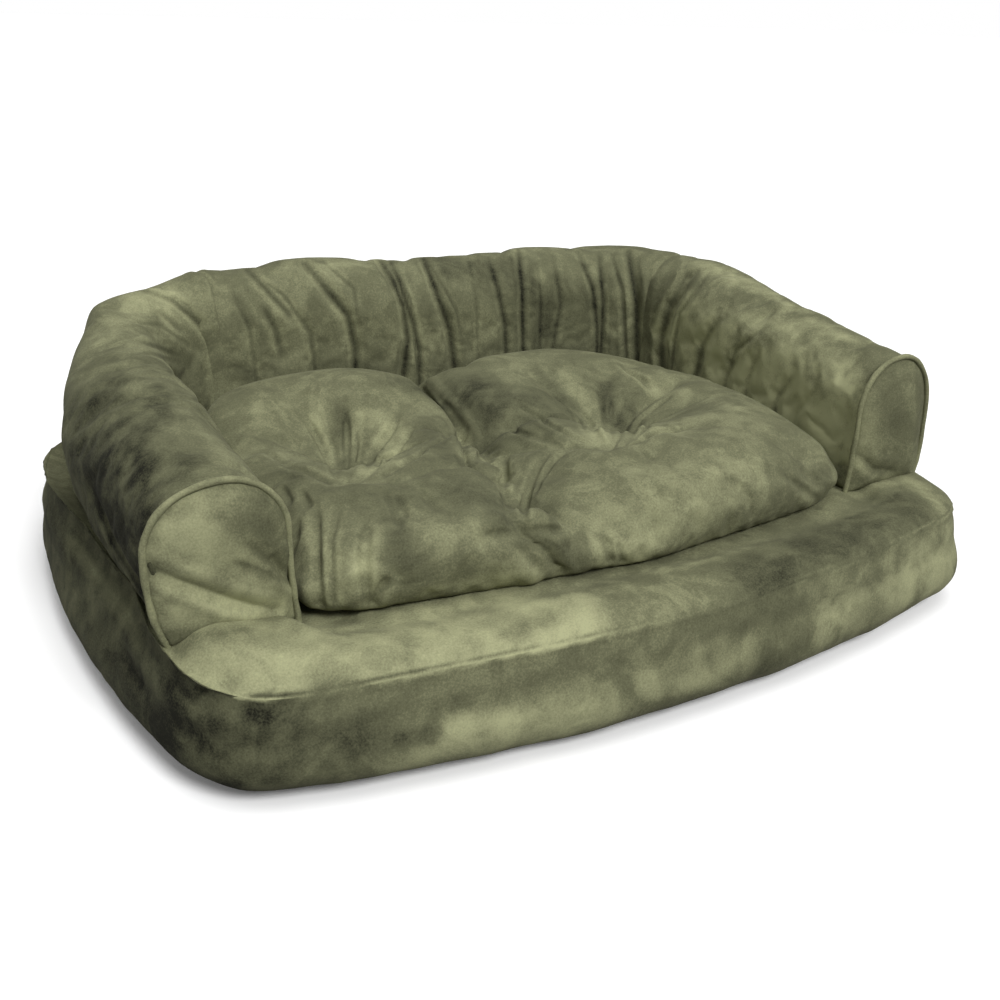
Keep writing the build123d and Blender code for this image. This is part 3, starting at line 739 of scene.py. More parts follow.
rightArmFolds = [
    ([(687, 276), (670, 307), (662, 337), (662, 379)], 0.008, 0.010, 0.6, 1.0),
    ([(725, 308), (703, 345), (693, 390)], 0.008, 0.006, 0.1, 1.0),
    ([(740, 350), (727, 375), (723, 400)], 0.007, 0.005, 0.0, 1.0),
    ([(762, 345), (748, 379), (744, 408)], 0.007, 0.004, 0.0, 1.0),
    ([(801, 366), (778, 396), (771, 425)], 0.007, 0.004, 0.0, 1.0),
    ([(706, 276), (679, 314), (670, 375)], 0.004, 0.004, 0.2, 0.9),
    ([(767, 325), (735, 352), (722, 394)], 0.004, 0.003, 0.0, 0.9),
    ([(820, 385), (795, 415), (787, 440)], 0.004, 0.002, 0.0, 0.9),
    ([(848, 395), (845, 430), (836, 465)], 0.006, 0.002, 0.0, 0.5),
]
rightArmMarks = [
    # these three marks: painted light on the right arm's inner side, which lies in shade
    ([(700, 330), (760, 370), (820, 410), (850, 435)], 0.060, 0.34),
    ([(790, 410), (820, 430), (845, 445)], 0.040, 0.22),
    ([(675, 340), (720, 380), (780, 420)], 0.045, 0.16),
    ([(700, 262), (770, 295), (850, 340)], 0.012, 0.12),
    ([(688, 280), (715, 300), (740, 300)], 0.016, -0.14),
    ([(655, 395), (700, 400), (750, 425), (800, 455), (830, 475)], 0.010, -0.14),
    ([(845, 370), (835, 420), (832, 460)], 0.014, 0.14),
]
leftFacingMarks = [
    ([(175, 520), (200, 550), (215, 585)], 0.034, 0.26),
    ([(190, 500), (230, 498)], 0.018, 0.12),
    ([(180, 608), (240, 608), (290, 605)], 0.016, 0.20),
    ([(252, 515), (266, 545), (285, 565)], 0.018, -0.16),
    ([(215, 510), (235, 528)], 0.010, -0.10),
    ([(150, 560), (165, 590)], 0.010, 0.14),
]
rightFacingMarks = [
    ([(868, 400), (866, 440), (862, 465)], 0.012, 0.14),
    ([(885, 395), (895, 430)], 0.020, -0.08),
    ([(872, 475), (905, 468)], 0.012, -0.10),
    ([(910, 385), (915, 420)], 0.008, 0.10),
]
cushionMarks = [
    # these three marks: painted shade down the cushion's middle valley
    ([(412, 380), (440, 412), (463, 434), (469, 462)], 0.007, -0.24),
    ([(470, 462), (497, 478), (510, 511), (524, 532)], 0.007, -0.24),
    ([(524, 532), (549, 553), (569, 583)], 0.006, -0.20),
    ([(470, 395), (510, 405), (560, 410)], 0.040, -0.14),
    ([(310, 530), (340, 560), (345, 595)], 0.022, 0.20),
    ([(420, 520), (470, 540), (520, 570)], 0.026, 0.14),
    ([(375, 530), (372, 570)], 0.012, 0.18),
    ([(430, 590), (480, 585), (530, 578)], 0.012, 0.14),
    ([(300, 505), (315, 525)], 0.010, -0.14),
    ([(395, 520), (410, 560)], 0.013, -0.12),
    ([(440, 500), (480, 500), (505, 520)], 0.020, -0.16),
    ([(350, 500), (420, 500)], 0.012, -0.06),
    # painted shade in the fold that runs up from the left tuft
    ([(338, 405), (342, 440), (345, 470)], 0.009, -0.24),
    ([(312, 400), (325, 430), (335, 460)], 0.008, 0.12),
    ([(372, 385), (400, 392), (425, 405)], 0.016, -0.20),
    ([(385, 425), (405, 445), (380, 465)], 0.018, 0.20),
    ([(360, 400), (356, 440), (352, 468)], 0.007, 0.14),
    ([(430, 430), (445, 455)], 0.014, -0.14),
    ([(245, 430), (270, 445)], 0.016, -0.10),
    ([(255, 410), (290, 405)], 0.010, 0.10),
    ([(258, 470), (300, 475)], 0.008, -0.12),
    ([(470, 400), (510, 420), (550, 435)], 0.026, -0.18),
    ([(440, 385), (480, 378), (520, 372)], 0.012, 0.08),
    ([(560, 375), (585, 405), (600, 432)], 0.013, 0.16),
    ([(530, 370), (560, 400)], 0.012, -0.10),
    ([(605, 385), (610, 420)], 0.008, -0.20),
    ([(635, 395), (622, 425)], 0.010, -0.20),
    ([(650, 388), (700, 398), (760, 425)], 0.012, 0.10),
    ([(505, 465), (498, 495)], 0.010, 0.14),
    ([(560, 460), (590, 462), (640, 460)], 0.012, -0.06),
    ([(560, 500), (620, 520), (690, 500), (740, 480)], 0.042, 0.12),
    ([(640, 545), (700, 525)], 0.018, 0.12),
    ([(760, 440), (790, 465), (820, 485)], 0.020, -0.12),
    ([(540, 545), (580, 570)], 0.016, -0.10),
    ([(595, 545), (605, 570)], 0.006, 0.14),
    ([(700, 430), (740, 450)], 0.020, -0.06),
]


# creases that go on behind what lies in front of them
def runOn(folds, reach):
    longer = []
    for pixels, width, depth, first, last in folds:
        if last > 0.5:
            (a, b), (c, d) = pixels[-2:]
            share = reach / math.dist((a, b), (c, d))
            pixels = pixels + [(c + (c - a) * share, d + (d - b) * share)]
        longer.append((pixels, width, depth, first, last))
    return longer


# the cushion's wide valleys between its lobes, and the pleats that the tufts draw
cushionValleys = [
    ([(412, 381), (440, 412), (463, 432), (468, 460)], 0.017, 0.014, 1.0, 1.0),
    ([(412, 378), (438, 410), (463, 434), (469, 462)], 0.007, 0.020, 1.0, 1.0),
    ([(468, 460), (495, 477), (509, 511), (524, 532)], 0.015, 0.012, 1.0, 1.0),
    ([(470, 462), (497, 478), (510, 511), (524, 532)], 0.006, 0.014, 1.0, 1.0),
    ([(524, 532), (549, 553), (567, 581)], 0.013, 0.014, 1.0, 1.0),
    ([(524, 532), (549, 553), (569, 583)], 0.006, 0.012, 1.0, 1.0),
    ([(343, 395), (347, 440), (347, 478)], 0.016, 0.010, 0.2, 1.0),
    ([(473, 462), (503, 452), (537, 445), (570, 446), (610, 447)], 0.016, 0.008, 1.0, 0.8),
    ([(672, 380), (645, 400), (626, 420), (612, 444)], 0.015, 0.014, 1.0, 1.0),
    ([(520, 372), (560, 405), (598, 444)], 0.016, 0.007, 0.0, 1.0),
    ([(468, 462), (431, 470), (395, 482), (350, 482)], 0.014, 0.007, 0.8, 0.6),
]
cushionFolds = [
    ([(412, 378), (438, 410), (463, 434), (469, 462)], 0.0050, 0.007, 1.0, 1.0),
    ([(470, 462), (497, 478), (510, 511), (524, 532)], 0.0050, 0.007, 1.0, 1.0),
    ([(524, 532), (549, 553), (569, 583)], 0.0050, 0.007, 1.0, 1.0),
    ([(360, 410), (356, 445), (350, 480)], 0.0040, 0.006, 0.0, 1.0),
    ([(300, 410), (322, 445), (340, 480)], 0.0045, 0.004, 0.0, 1.0),
    ([(420, 420), (395, 455), (358, 482)], 0.0045, 0.004, 0.0, 1.0),
    ([(455, 430), (420, 455), (385, 475)], 0.0045, 0.003, 0.0, 0.8),
    ([(510, 400), (550, 425), (590, 443)], 0.0045, 0.004, 0.0, 1.0),
    ([(540, 385), (575, 415), (600, 443)], 0.0045, 0.004, 0.0, 1.0),
    ([(612, 385), (611, 415), (612, 444)], 0.0045, 0.005, 0.0, 1.0),
    ([(645, 392), (625, 415), (617, 444)], 0.0045, 0.005, 0.0, 1.0),
    ([(690, 405), (655, 422), (622, 445)], 0.0045, 0.004, 0.0, 1.0),
    ([(505, 445), (480, 455), (470, 462)], 0.0050, 0.005, 0.0, 1.0),
    ([(455, 425), (462, 445), (468, 460)], 0.0045, 0.004, 0.0, 1.0),
    ([(445, 470), (456, 467), (467, 462)], 0.0045, 0.004, 0.0, 1.0),
    ([(560, 455), (540, 480), (533, 505)], 0.0045, 0.004, 0.2, 0.0),
    ([(570, 530), (545, 530), (526, 532)], 0.0050, 0.004, 0.0, 1.0),
    ([(565, 552), (545, 542), (527, 533)], 0.0050, 0.004, 0.0, 1.0),
    ([(480, 535), (505, 533), (522, 531)], 0.0050, 0.003, 0.0, 1.0),
    ([(340, 500), (330, 540), (332, 600)], 0.0050, 0.003, 0.0, 0.8),
    ([(386, 494), (394, 510), (402, 530)], 0.0045, 0.003, 0.6, 0.0),
    ([(300, 490), (312, 510)], 0.0045, 0.003, 0.6, 0.0),
    ([(282, 488), (292, 505)], 0.0045, 0.003, 0.6, 0.0),
    ([(640, 450), (655, 462)], 0.0045, 0.002, 0.5, 0.0),
    ([(345, 397), (347, 439), (347, 480)], 0.0050, 0.010, 0.1, 1.0),
    ([(326, 418), (335, 452), (343, 481)], 0.0050, 0.006, 0.0, 1.0),
    ([(288, 400), (312, 428), (332, 465), (342, 482)], 0.0055, 0.006, 0.1, 1.0),
    ([(258, 445), (292, 466), (330, 481)], 0.0060, 0.005, 0.1, 0.8),
    ([(440, 440), (411, 448), (381, 460), (356, 480)], 0.0060, 0.006, 0.0, 1.0),
    ([(405, 400), (392, 430), (366, 468), (354, 480)], 0.0060, 0.004, 0.0, 1.0),
    ([(500, 428), (536, 436), (566, 447)], 0.0050, 0.004, 0.0, 0.6),
    ([(503, 456), (504, 484), (512, 512), (524, 530)], 0.0060, 0.010, 0.5, 1.0),
    ([(549, 450), (533, 476), (523, 510), (524, 530)], 0.0055, 0.007, 0.3, 1.0),
    ([(566, 448), (545, 470), (530, 495)], 0.0050, 0.004, 0.3, 0.0),
    ([(567, 395), (588, 420), (606, 444)], 0.0055, 0.006, 0.0, 1.0),
    ([(596, 380), (604, 415), (612, 444)], 0.0055, 0.004, 0.0, 1.0),
    ([(626, 401), (614, 424), (613, 444)], 0.0055, 0.009, 0.1, 1.0),
    ([(668, 399), (640, 417), (622, 444)], 0.0055, 0.009, 0.2, 1.0),
    ([(700, 425), (660, 432), (626, 446)], 0.0060, 0.004, 0.0, 0.8),
    ([(621, 366), (640, 378), (660, 392)], 0.0060, 0.006, 0.2, 0.8),
    ([(316, 500), (317, 580), (320, 606)], 0.0060, 0.004, 0.0, 1.0),
    ([(366, 520), (364, 566), (369, 604)], 0.0060, 0.005, 0.0, 1.0),
    ([(390, 576), (380, 592), (371, 610)], 0.0055, 0.007, 0.0, 1.0),
    ([(398, 498), (406, 520)], 0.0060, 0.004, 0.5, 0.0),
    ([(421, 492), (441, 512)], 0.0060, 0.003, 0.5, 0.0),
    ([(606, 535), (613, 572)], 0.0060, 0.004, 0.0, 1.0),
    ([(618, 540), (622, 568)], 0.0060, 0.003, 0.0, 1.0),
    ([(514, 535), (534, 560), (552, 580)], 0.0060, 0.003, 0.0, 0.4),
    ([(780, 470), (800, 486), (818, 498)], 0.0060, 0.003, 0.0, 0.6),
]

# how far the bolster has settled, and the parts that do (where each begins, how far it grows)
settleSet = {"aloft": (0.135, 0.10), "leftSide": (0.385, 0.07),
             "leftWide": 0.009, "leftmost": (0.40, 0.055), "leftFront": (0.02, 0.2),
             "leftOut": 0.016, "outPlace": -0.04, "outReach": 0.15, "outFoot": (0.126, 0.03),
             "outTop": (-0.33, 0.14), "leftIn": 0.032, "inFrom": (0.02, 0.22),
             "cornerIn": 0.018, "cornerDown": 0.010, "cornerLeft": (0.20, 0.12), "cornerRear": (-0.02, 0.16),
             "cornerBack": (0.22, 0.1), "backDown": 0.013, "backFrom": (0.17, 0.06),
             "backLeft": (-0.20, 0.22), "backRight": (-0.42, 0.15), "rightUp": 0.012,
             "rightSide": (0.30, 0.05), "rightFront": (-0.22, 0.12), "rightTop": (0.15, 0.12),
             "rightIn": 0.007, "rightmost": (0.405, 0.06), "inFront": (0.05, 0.12)}
# the arms and the back rest, and where their ends are sewn together
rollSet = {"voxel": 0.004, "skin": 0.0023, "endHold": 0.014, "footHold": 0.016, "frontHold": 0.008,
           "seamDepth": 0.0035, "seamWidth": 0.006, "lap": 0.003, "runOn": 24,
           "frames": 16, "spare": 0.012, "cap": 0.008, "bend": 2.5, "sharp": 0.45, "deep": 0.45, "lip": 0.1,
           "waves": 0.0018, "waveScale": 14, "fill": 0.8,
           "leftSeam": -0.262, "armMiddle": 0.407, "backMiddle": 0.301, "turnRadius": 0.145, "turnAngle": 18,
           "seamHeight": 0.2}
cushionSet = {"voxel": 0.0045, "skin": 0.002, "frames": 20, "spare": 0.018, "cap": 0.012, "bend": 1.5,
              "sharp": 0.55, "deep": 0.8, "lip": 0.2, "tuftHold": 0.010, "footHold": 0.004, "fill": 0.9,
              "around": 360, "rings": 56, "underRings": 18, "seam": 0.148, "middle": Vector((0, -0.033, 0)),
              "spread": 1.5, "shoulder": 0.06, "stands": (0.55, 0.45), "least": 0.0005,
              "mapStep": 0.004, "fillCells": 19, "blur": 2.6, "fillBlur": 1.5,
              "tuftFloor": 0.1595, "soften": 0.012,
              "aboveSeam": (0.150, 0.025), "frontOfBack": (-0.255, 0.05),
              "leftRear": 0.024, "leftLobe": ((0.03, 0.05), (0.035, 0.09)),
              "rightRear": 0.010, "rightLobe": ((0.03, 0.05), (0.07, 0.09), (-0.26, 0.1)),
              "cornerOut": 0.010, "cornerLeft": (0.24, 0.06), "cornerFront": (0.17, 0.06),
              "fullFront": (-0.02, 0.03), "fullSide": (-0.13, 0.05),
              "tuftShade": 0.30, "tuftShadeReach": 0.025, "tuftShadeFrom": 0.15}


# draws a bolster in where its end is sewn to the next one
def drawSeam(piece, place, along, width, depth):
    places, outward = points(piece), normals(piece)
    way = np.array(along)
    near = np.exp(-(((places - np.array(place)) @ way) / width) ** 2)
    cap = (outward @ way)[:, None] * way
    inward = (outward - cap) * (depth * near)[:, None]
    setPoints(piece, places - inward + cap * (rollSet["lap"] * near)[:, None])


# how the real bolster has settled against the plain one: left arm fuller at its front and outer
# side, rear left corner in and down, back a little lower, right arm fuller on top
def settle(piece):
    places = points(piece)
    x, y, z = places.T

    def part(value, key):
        return ramp(value, *settleSet[key])

    aloft, outer = part(z, "aloft"), part(-x, "leftSide")
    places[:, 0] -= settleSet["leftWide"] * part(-x, "leftmost") * part(-y, "leftFront")
    low = part(z, "outFoot") * part(-z, "outTop")
    middle = np.exp(-((y - settleSet["outPlace"]) / settleSet["outReach"]) ** 2)
    places[:, 0] -= settleSet["leftOut"] * middle * outer * low
    places[:, 0] += settleSet["leftIn"] * part(y, "inFrom") * outer * aloft
    corner = part(-x, "cornerLeft") * part(y, "cornerRear")
    places[:, 1] -= settleSet["cornerIn"] * corner * aloft * part(y, "cornerBack")
    places[:, 2] -= settleSet["cornerDown"] * corner * aloft
    back = part(y, "backFrom") * part(x, "backLeft") * part(-x, "backRight")
    places[:, 2] -= settleSet["backDown"] * back * aloft
    right = part(x, "rightSide") * part(-y, "rightFront")
    places[:, 2] += settleSet["rightUp"] * right * part(z, "rightTop")
    places[:, 0] -= settleSet["rightIn"] * part(x, "rightmost") * aloft * part(-y, "inFront")
    setPoints(piece, places)


def makeRoll(name, cover, filling, folds, marks, material, ends, seed):
    piece = copyNodes(name, filling)
    folds = runOn(folds, rollSet["runOn"])
    remesh(piece, rollSet["voxel"])
    grow(piece, rollSet["skin"])
    settle(piece)
    tree = treeOf(piece)
    for place, along in ends:
        drawSeam(piece, place, along, rollSet["seamWidth"], rollSet["seamDepth"])
    held = pressFolds(piece, folds, tree)
    places = points(piece)
    floor = places[:, 2].min()
    held = np.maximum(held, places[:, 2] < floor + rollSet["footHold"])
    for place, along in ends:
        gap = np.abs((places - np.array(place)) @ np.array(along))
        held = np.maximum(held, gap < rollSet["endHold"])
    if "Arm" in name:
        held = np.maximum(held, places[:, 1] < places[:, 1].min() + rollSet["frontHold"])
    swell(piece, held, rollSet)
    subdivideOnce(piece)
    pressFolds(piece, folds, tree, rollSet["sharp"], rollSet["deep"], rollSet["lip"])
    places = points(piece)
    wave = smoothField(places, rollSet["waveScale"], seed) * rollSet["waves"]
    setPoints(piece, places + normals(piece) * wave[:, None])
    layNapAndPaintedLight(piece, brushTone(places, marks, treeOf(piece), folds))
    finishPiece(piece, "base", material, (cover, filling))
    print("made", name)


# heights of a surface on an even grid, seen from above (1) or from below (-1)
def heightMap(tree, side):
    step = cushionSet["mapStep"]
    low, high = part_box("cushion_filling")
    xs = np.arange(low.x - 3 * step, high.x + 3 * step, step)
    ys = np.arange(low.y - 3 * step, high.y + 3 * step, step)
    grid = np.full((len(ys), len(xs)), cushionSet["seam"])
    for row, y in enumerate(ys):
        for column, x in enumerate(xs):
            hit = tree.ray_cast(Vector((x, y, side)), Vector((0, 0, -side)))[0]
            if hit is not None:
                grid[row, column] = hit.z
    return xs, ys, grid


def blurred(grid, width):
    reach = int(3 * width)
    kernel = np.exp(-(np.arange(-reach, reach + 1) / width) ** 2 / 2)
    kernel /= kernel.sum()
    padded = np.pad(grid, reach, mode="edge")
    padded = np.apply_along_axis(lambda line: np.convolve(line, kernel, "valid"), 0, padded)
    return np.apply_along_axis(lambda line: np.convolve(line, kernel, "valid"), 1, padded)


# the map with its hollows filled
def filled(grid, cells):
    for pick in (np.max, np.min):
        for axis in (0, 1):
            sides = [(cells, cells) if side == axis else (0, 0) for side in (0, 1)]
            wide = np.pad(grid, sides, mode="edge")
            grid = pick(np.lib.stride_tricks.sliding_window_view(wide, 2 * cells + 1, axis=axis), axis=-1)
    return grid


def readMap(heights, x, y):
    xs, ys, grid = heights
    across = np.clip((x - xs[0]) / (xs[1] - xs[0]), 0, len(xs) - 1.001)
    along = np.clip((y - ys[0]) / (ys[1] - ys[0]), 0, len(ys) - 1.001)
    column, row = int(across), int(along)
    right, up = across - column, along - row
    return ((grid[row, column] * (1 - right) + grid[row, column + 1] * right) * (1 - up)
            + (grid[row + 1, column] * (1 - right) + grid[row + 1, column + 1] * right) * up)


# tufts: node, and how steeply the cloth rises from it to the left, right, front and back
tuftSlopes = [("left_tuft_tie", 0.52, 0.50, 0.62, 0.42), ("right_tuft_tie", 0.48, 0.46, 0.62, 0.38),
              ("centre_tuft_tie", 1.1, 1.1, 0.9, 0.8), ("front_tuft_tie", 1.2, 1.2, 0.9, 0.8)]
tuftPlaces = [sum(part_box(row[0]), Vector()) / 2 for row in tuftSlopes]


def tuftHeight(x, y, level):
    for place, (name, left, right, front, back) in zip(tuftPlaces, tuftSlopes):
        across, along = x - place.x, y - place.y
        rise = math.hypot(across * (right if across > 0 else left), along * (back if along > 0 else front))
        cone = cushionSet["tuftFloor"] + rise
        level = (level + cone - math.sqrt((level - cone) ** 2 + cushionSet["soften"] ** 2)) / 2
    return level


# the lobes behind the tufts stand highest; the front left corner fills up to the arm
def raiseLobes(piece):
    places = points(piece)
    x, y, z = places.T.copy()
    body = ramp(z, *cushionSet["aboveSeam"]) * ramp(-y, *cushionSet["frontOfBack"])
    side, rear = cushionSet["leftLobe"]
    left = ramp(-x, *side) * ramp(y, *rear)
    side, rear, inner = cushionSet["rightLobe"]
    right = ramp(x, *side) * ramp(y, *rear) * ramp(-x, *inner)
    places[:, 2] += body * (cushionSet["leftRear"] * left + cushionSet["rightRear"] * right)
    corner = ramp(-x, *cushionSet["cornerLeft"]) * ramp(-y, *cushionSet["cornerFront"])
    places[:, 0] -= cushionSet["cornerOut"] * corner
    setPoints(piece, places)


# 1 in front of the two deep tufts, where the lobes stand full
def inFront(x, y):
    ahead = [ramp(place.y - y, *cushionSet["fullFront"]) for place in tuftPlaces[:2]]
    beside = [ramp(-abs(x - place.x), *cushionSet["fullSide"]) for place in tuftPlaces[:2]]
    return max(float(a * b) for a, b in zip(ahead, beside))


def makeCushion(material):
    source = copyNodes("seatCushion", "cushion_filling")
    tree = treeOf(source)
    bpy.data.objects.remove(source)
    over, under = heightMap(tree, 1), heightMap(tree, -1)
    blur = cushionSet["blur"]
    full = (*over[:2], blurred(filled(over[2], cushionSet["fillCells"]), blur * cushionSet["fillBlur"]))
    over = (*over[:2], blurred(over[2], blur))
    middle, seam = cushionSet["middle"], cushionSet["seam"]
    angles = outlineAngles(tree, cushionSet["around"], seam, middle)
    edge = [fromOutside(tree, angle, seam, middle) for angle in angles]
    rings = []
    for k in range(1, cushionSet["underRings"]):
        share = 1 - (1 - k / cushionSet["underRings"]) ** 2
        ring = [middle + (p - middle) * share for p in edge]
        rings.append([Vector((p.x, p.y, readMap(under, p.x, p.y))) for p in ring])
    rings.append(edge)
    for k in range(1, cushionSet["rings"]):
        share = 1 - (k / cushionSet["rings"]) ** cushionSet["spread"]
        atEdge, further = cushionSet["stands"]
        stands = atEdge + further * float(ramp(1 - share, 0, cushionSet["shoulder"]))
        ring = []
        for p in edge:
            x, y = middle.x + (p.x - middle.x) * share, middle.y + (p.y - middle.y) * share
            level = readMap(over, x, y)
            level += (readMap(full, x, y) - level) * inFront(x, y)
            level = seam + (tuftHeight(x, y, level) - seam) * stands
            ring.append(Vector((x, y, max(seam + cushionSet["least"], level))))
        rings.append(ring)
    at = (middle.x, middle.y)
    piece = skinRings("seatCushion", rings, Vector((*at, readMap(under, *at))),
                      Vector((*at, tuftHeight(*at, readMap(over, *at)))))
    remesh(piece, cushionSet["voxel"])
    grow(piece, cushionSet["skin"])
    raiseLobes(piece)
    tree = treeOf(piece)
    pressFolds(piece, cushionValleys, tree, lip=0.2)
    held = pressFolds(piece, cushionFolds, tree)
    places = points(piece)
    for place in tuftPlaces:
        gap = np.hypot(places[:, 0] - place.x, places[:, 1] - place.y)
        held = np.maximum(held, gap < cushionSet["tuftHold"])
    held = np.maximum(held, places[:, 2] < places[:, 2].min() + cushionSet["footHold"])
    swell(piece, held, cushionSet, even=False)
    subdivideOnce(piece)
    pressFolds(piece, cushionFolds, tree, cushionSet["sharp"], cushionSet["deep"], cushionSet["lip"])
    places = points(piece)
    tone = brushTone(places, cushionMarks, tree, cushionFolds)
    # painted shade in the hollow round each tuft, above the seam
    for place in tuftPlaces:
        gap = np.hypot(places[:, 0] - place.x, places[:, 1] - place.y)
        around = np.exp(-(gap / cushionSet["tuftShadeReach"]) ** 2)
        tone -= cushionSet["tuftShade"] * around * (places[:, 2] > cushionSet["tuftShadeFrom"])
    layNapAndPaintedLight(piece, tone)
    finishPiece(piece, "cushion", material,
                ("cushion_top_cover", "cushion_bottom_cover", "cushion_filling"))
    print("cushion made")


# facing: the stuffed front of an arm, puffed between its sewn edges; radius is its arch's
facingSet = {"voxel": 0.002, "grow": 0.0018, "puff": 0.014, "reach": 0.040, "footSlope": 1.5, "radius": 0.056}


def makeFacing(name, node, folds, marks, material):
    piece = copyNodes(name, node)
    remesh(piece, facingSet["voxel"])
    grow(piece, facingSet["grow"])
    places = points(piece)
    low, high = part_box(node)
    radius = facingSet["radius"]
    crown = high.z - radius
    aside = np.abs(places[:, 0] - (low.x + high.x) / 2)
    edge = np.where(places[:, 2] > crown, radius - np.hypot(aside, places[:, 2] - crown), radius - aside)
    edge = np.minimum(edge, (places[:, 2] - low.z) * facingSet["footSlope"])
    share = np.clip(edge / facingSet["reach"], 0, 1)
    puff = facingSet["puff"] * (1 - (1 - share) ** 2)
    front = places[:, 1] < (low.y + high.y) / 2
    places[front, 1] -= puff[front]
    setPoints(piece, places)
    settle(piece)
    tree = treeOf(piece)
    pressFolds(piece, folds, tree)
    layNapAndPaintedLight(piece, brushTone(points(piece), marks, tree, folds))
    shadeSmooth(piece)
    finishPiece(piece, "base", material, (node,))
    print("made", name)


leftFacingFolds = [
    ([(150, 570), (177, 583), (206, 593), (235, 603), (254, 608), (276, 611)], 0.006, 0.007, 0.5, 0.6),
    ([(268, 553), (290, 578)], 0.006, 0.007, 0.0, 0.9),
    ([(240, 540), (262, 556), (284, 574)], 0.006, 0.004, 0.0, 0.8),
    ([(225, 560), (255, 570), (285, 580)], 0.006, 0.003, 0.0, 0.6),
]
rightFacingFolds = [
    ([(858, 455), (875, 470), (900, 472)], 0.006, 0.004, 0.6, 0.0),
]


# piping: cloth-covered cord sewn round the arch of a facing; its outer leg runs in towards the
# foot and its inner leg runs with it, towards the seat
pipingSet = {"radius": 0.0032, "outside": 0.0024, "proud": 0.0014, "sink": 0.004,
             "legSteps": 24, "archSteps": 40, "outerIn": 0.014, "innerIn": 0.007, "round": 5,
             "waves": 0.0006, "waveScale": 60}


def makePiping(name, node, facing, side, material):
    low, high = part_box(facing)
    crown = high.z - facingSet["radius"]
    middle = side * rollSet["armMiddle"]
    reach = facingSet["radius"] + pipingSet["outside"]
    outer, inner = [], []
    for k in range(pipingSet["legSteps"] + 1):
        share = k / pipingSet["legSteps"]
        drop = crown - share * (crown - low.z + pipingSet["sink"])
        outer.append((middle + side * (reach - pipingSet["outerIn"] * share ** 2), drop))
        inner.append((middle - side * (reach + pipingSet["innerIn"] * share ** 2), drop))
    line = outer[::-1]
    for k in range(1, pipingSet["archSteps"]):
        turned = math.pi * k / pipingSet["archSteps"]
        line.append((middle + side * reach * math.cos(turned), crown + reach * math.sin(turned)))
    line += inner
    curve = bpy.data.curves.new(name, "CURVE")
    curve.dimensions = "3D"
    spline = curve.splines.new("POLY")
    spline.points.add(len(line) - 1)
    for point, (x, z) in zip(spline.points, line):
        point.co = (x, low.y - pipingSet["proud"], z, 1)
    curve.bevel_depth = pipingSet["radius"]
    curve.bevel_resolution = pipingSet["round"]
    curve.use_fill_caps = True
    onlySelect(addObject(name, curve))
    bpy.ops.object.convert(target="MESH")
    piece = bpy.context.view_layer.objects.active
    places = points(piece)
    wave = smoothField(places, pipingSet["waveScale"], 21) * pipingSet["waves"]
    setPoints(piece, places + normals(piece) * wave[:, None])
    settle(piece)
    shadeSmooth(piece)
    finishPiece(piece, "base", material, (node,))
    print("made", name)


# what the zip and the tuft ties are made of, which keep their CAD shapes: colour, whether it is
# metal, scale and stretch of the weave, and the nodes that it dresses
details = {
    "zipTape": ((0.030, 0.033, 0.022), 0, 900, (1, 1, 3), ["base_zip_tape"]),
    "zipCoil": ((0.024, 0.026, 0.018), 0, 500, (4, 1, 1), ["base_zip_coil", "base_zip_stops"]),
    "zipMetal": ((0.30, 0.29, 0.26), 1, 300, (1, 1, 1), ["base_zip_slider", "base_zip_pull"]),
    "tuftThread": ((0.060, 0.062, 0.036), 0, 700, (1, 1, 0.2),
                   ["left_tuft_tie", "centre_tuft_tie", "front_tuft_tie", "right_tuft_tie"]),
}
weaveSet = {"detail": 4, "shades": (0.7, 1.3), "edges": (0.3, 0.7), "clothRough": (0.7, 0.95),
            "metalRough": (0.28, 0.45), "clothBump": 0.3, "metalBump": 0.08, "bumpHeight": 0.0005}


def dressNodes(name, colour, metallic, scale, stretch, dressed):
    material, node, link, shader = newMaterial(name)
    kind = "metal" if metallic else "cloth"
    place = node.new("ShaderNodeTexCoord")
    moved = node.new("ShaderNodeMapping")
    moved.inputs["Scale"].default_value = stretch
    link(place.outputs["Object"], moved.inputs["Vector"])
    weave = node.new("ShaderNodeTexNoise")
    setInputs(weave, {"Scale": scale, "Detail": weaveSet["detail"]})
    link(moved.outputs["Vector"], weave.inputs["Vector"])
    colours = node.new("ShaderNodeValToRGB")
    for element, share, edge in zip(colours.color_ramp.elements, weaveSet["shades"], weaveSet["edges"]):
        element.color = (*(c * share for c in colour), 1)
        element.position = edge
    link(weave.outputs["Fac"], colours.inputs["Fac"])
    link(colours.outputs["Color"], shader.inputs["Base Color"])
    rough = node.new("ShaderNodeMapRange")
    setInputs(rough, dict(zip(("To Min", "To Max"), weaveSet[kind + "Rough"])))
    link(weave.outputs["Fac"], rough.inputs["Value"])
    link(rough.outputs["Result"], shader.inputs["Roughness"])
    shader.inputs["Metallic"].default_value = metallic
    bump = node.new("ShaderNodeBump")
    setInputs(bump, {"Strength": weaveSet[kind + "Bump"], "Distance": weaveSet["bumpHeight"]})
    link(weave.outputs["Fac"], bump.inputs["Height"])
    link(bump.outputs["Normal"], shader.inputs["Normal"])
    for nodeName in dressed:
        nodes[nodeName].data.materials.clear()
        nodes[nodeName].data.materials.append(material)


# lamps: azimuth and height in degrees, strength, and how wide they spread
stageSet = {"floorSize": 60, "floorRough": 0.9, "floorSeen": 0.95, "floorGlow": 0.06, "bounce": 0.22,
            "fill": 0.20, "lampDistance": 3,
            "lamps": [("key", 4, 44, 2.6, 22), ("overhead", 0, 84, 1.35, 50), ("side", -80, 42, 0.35, 60)]}


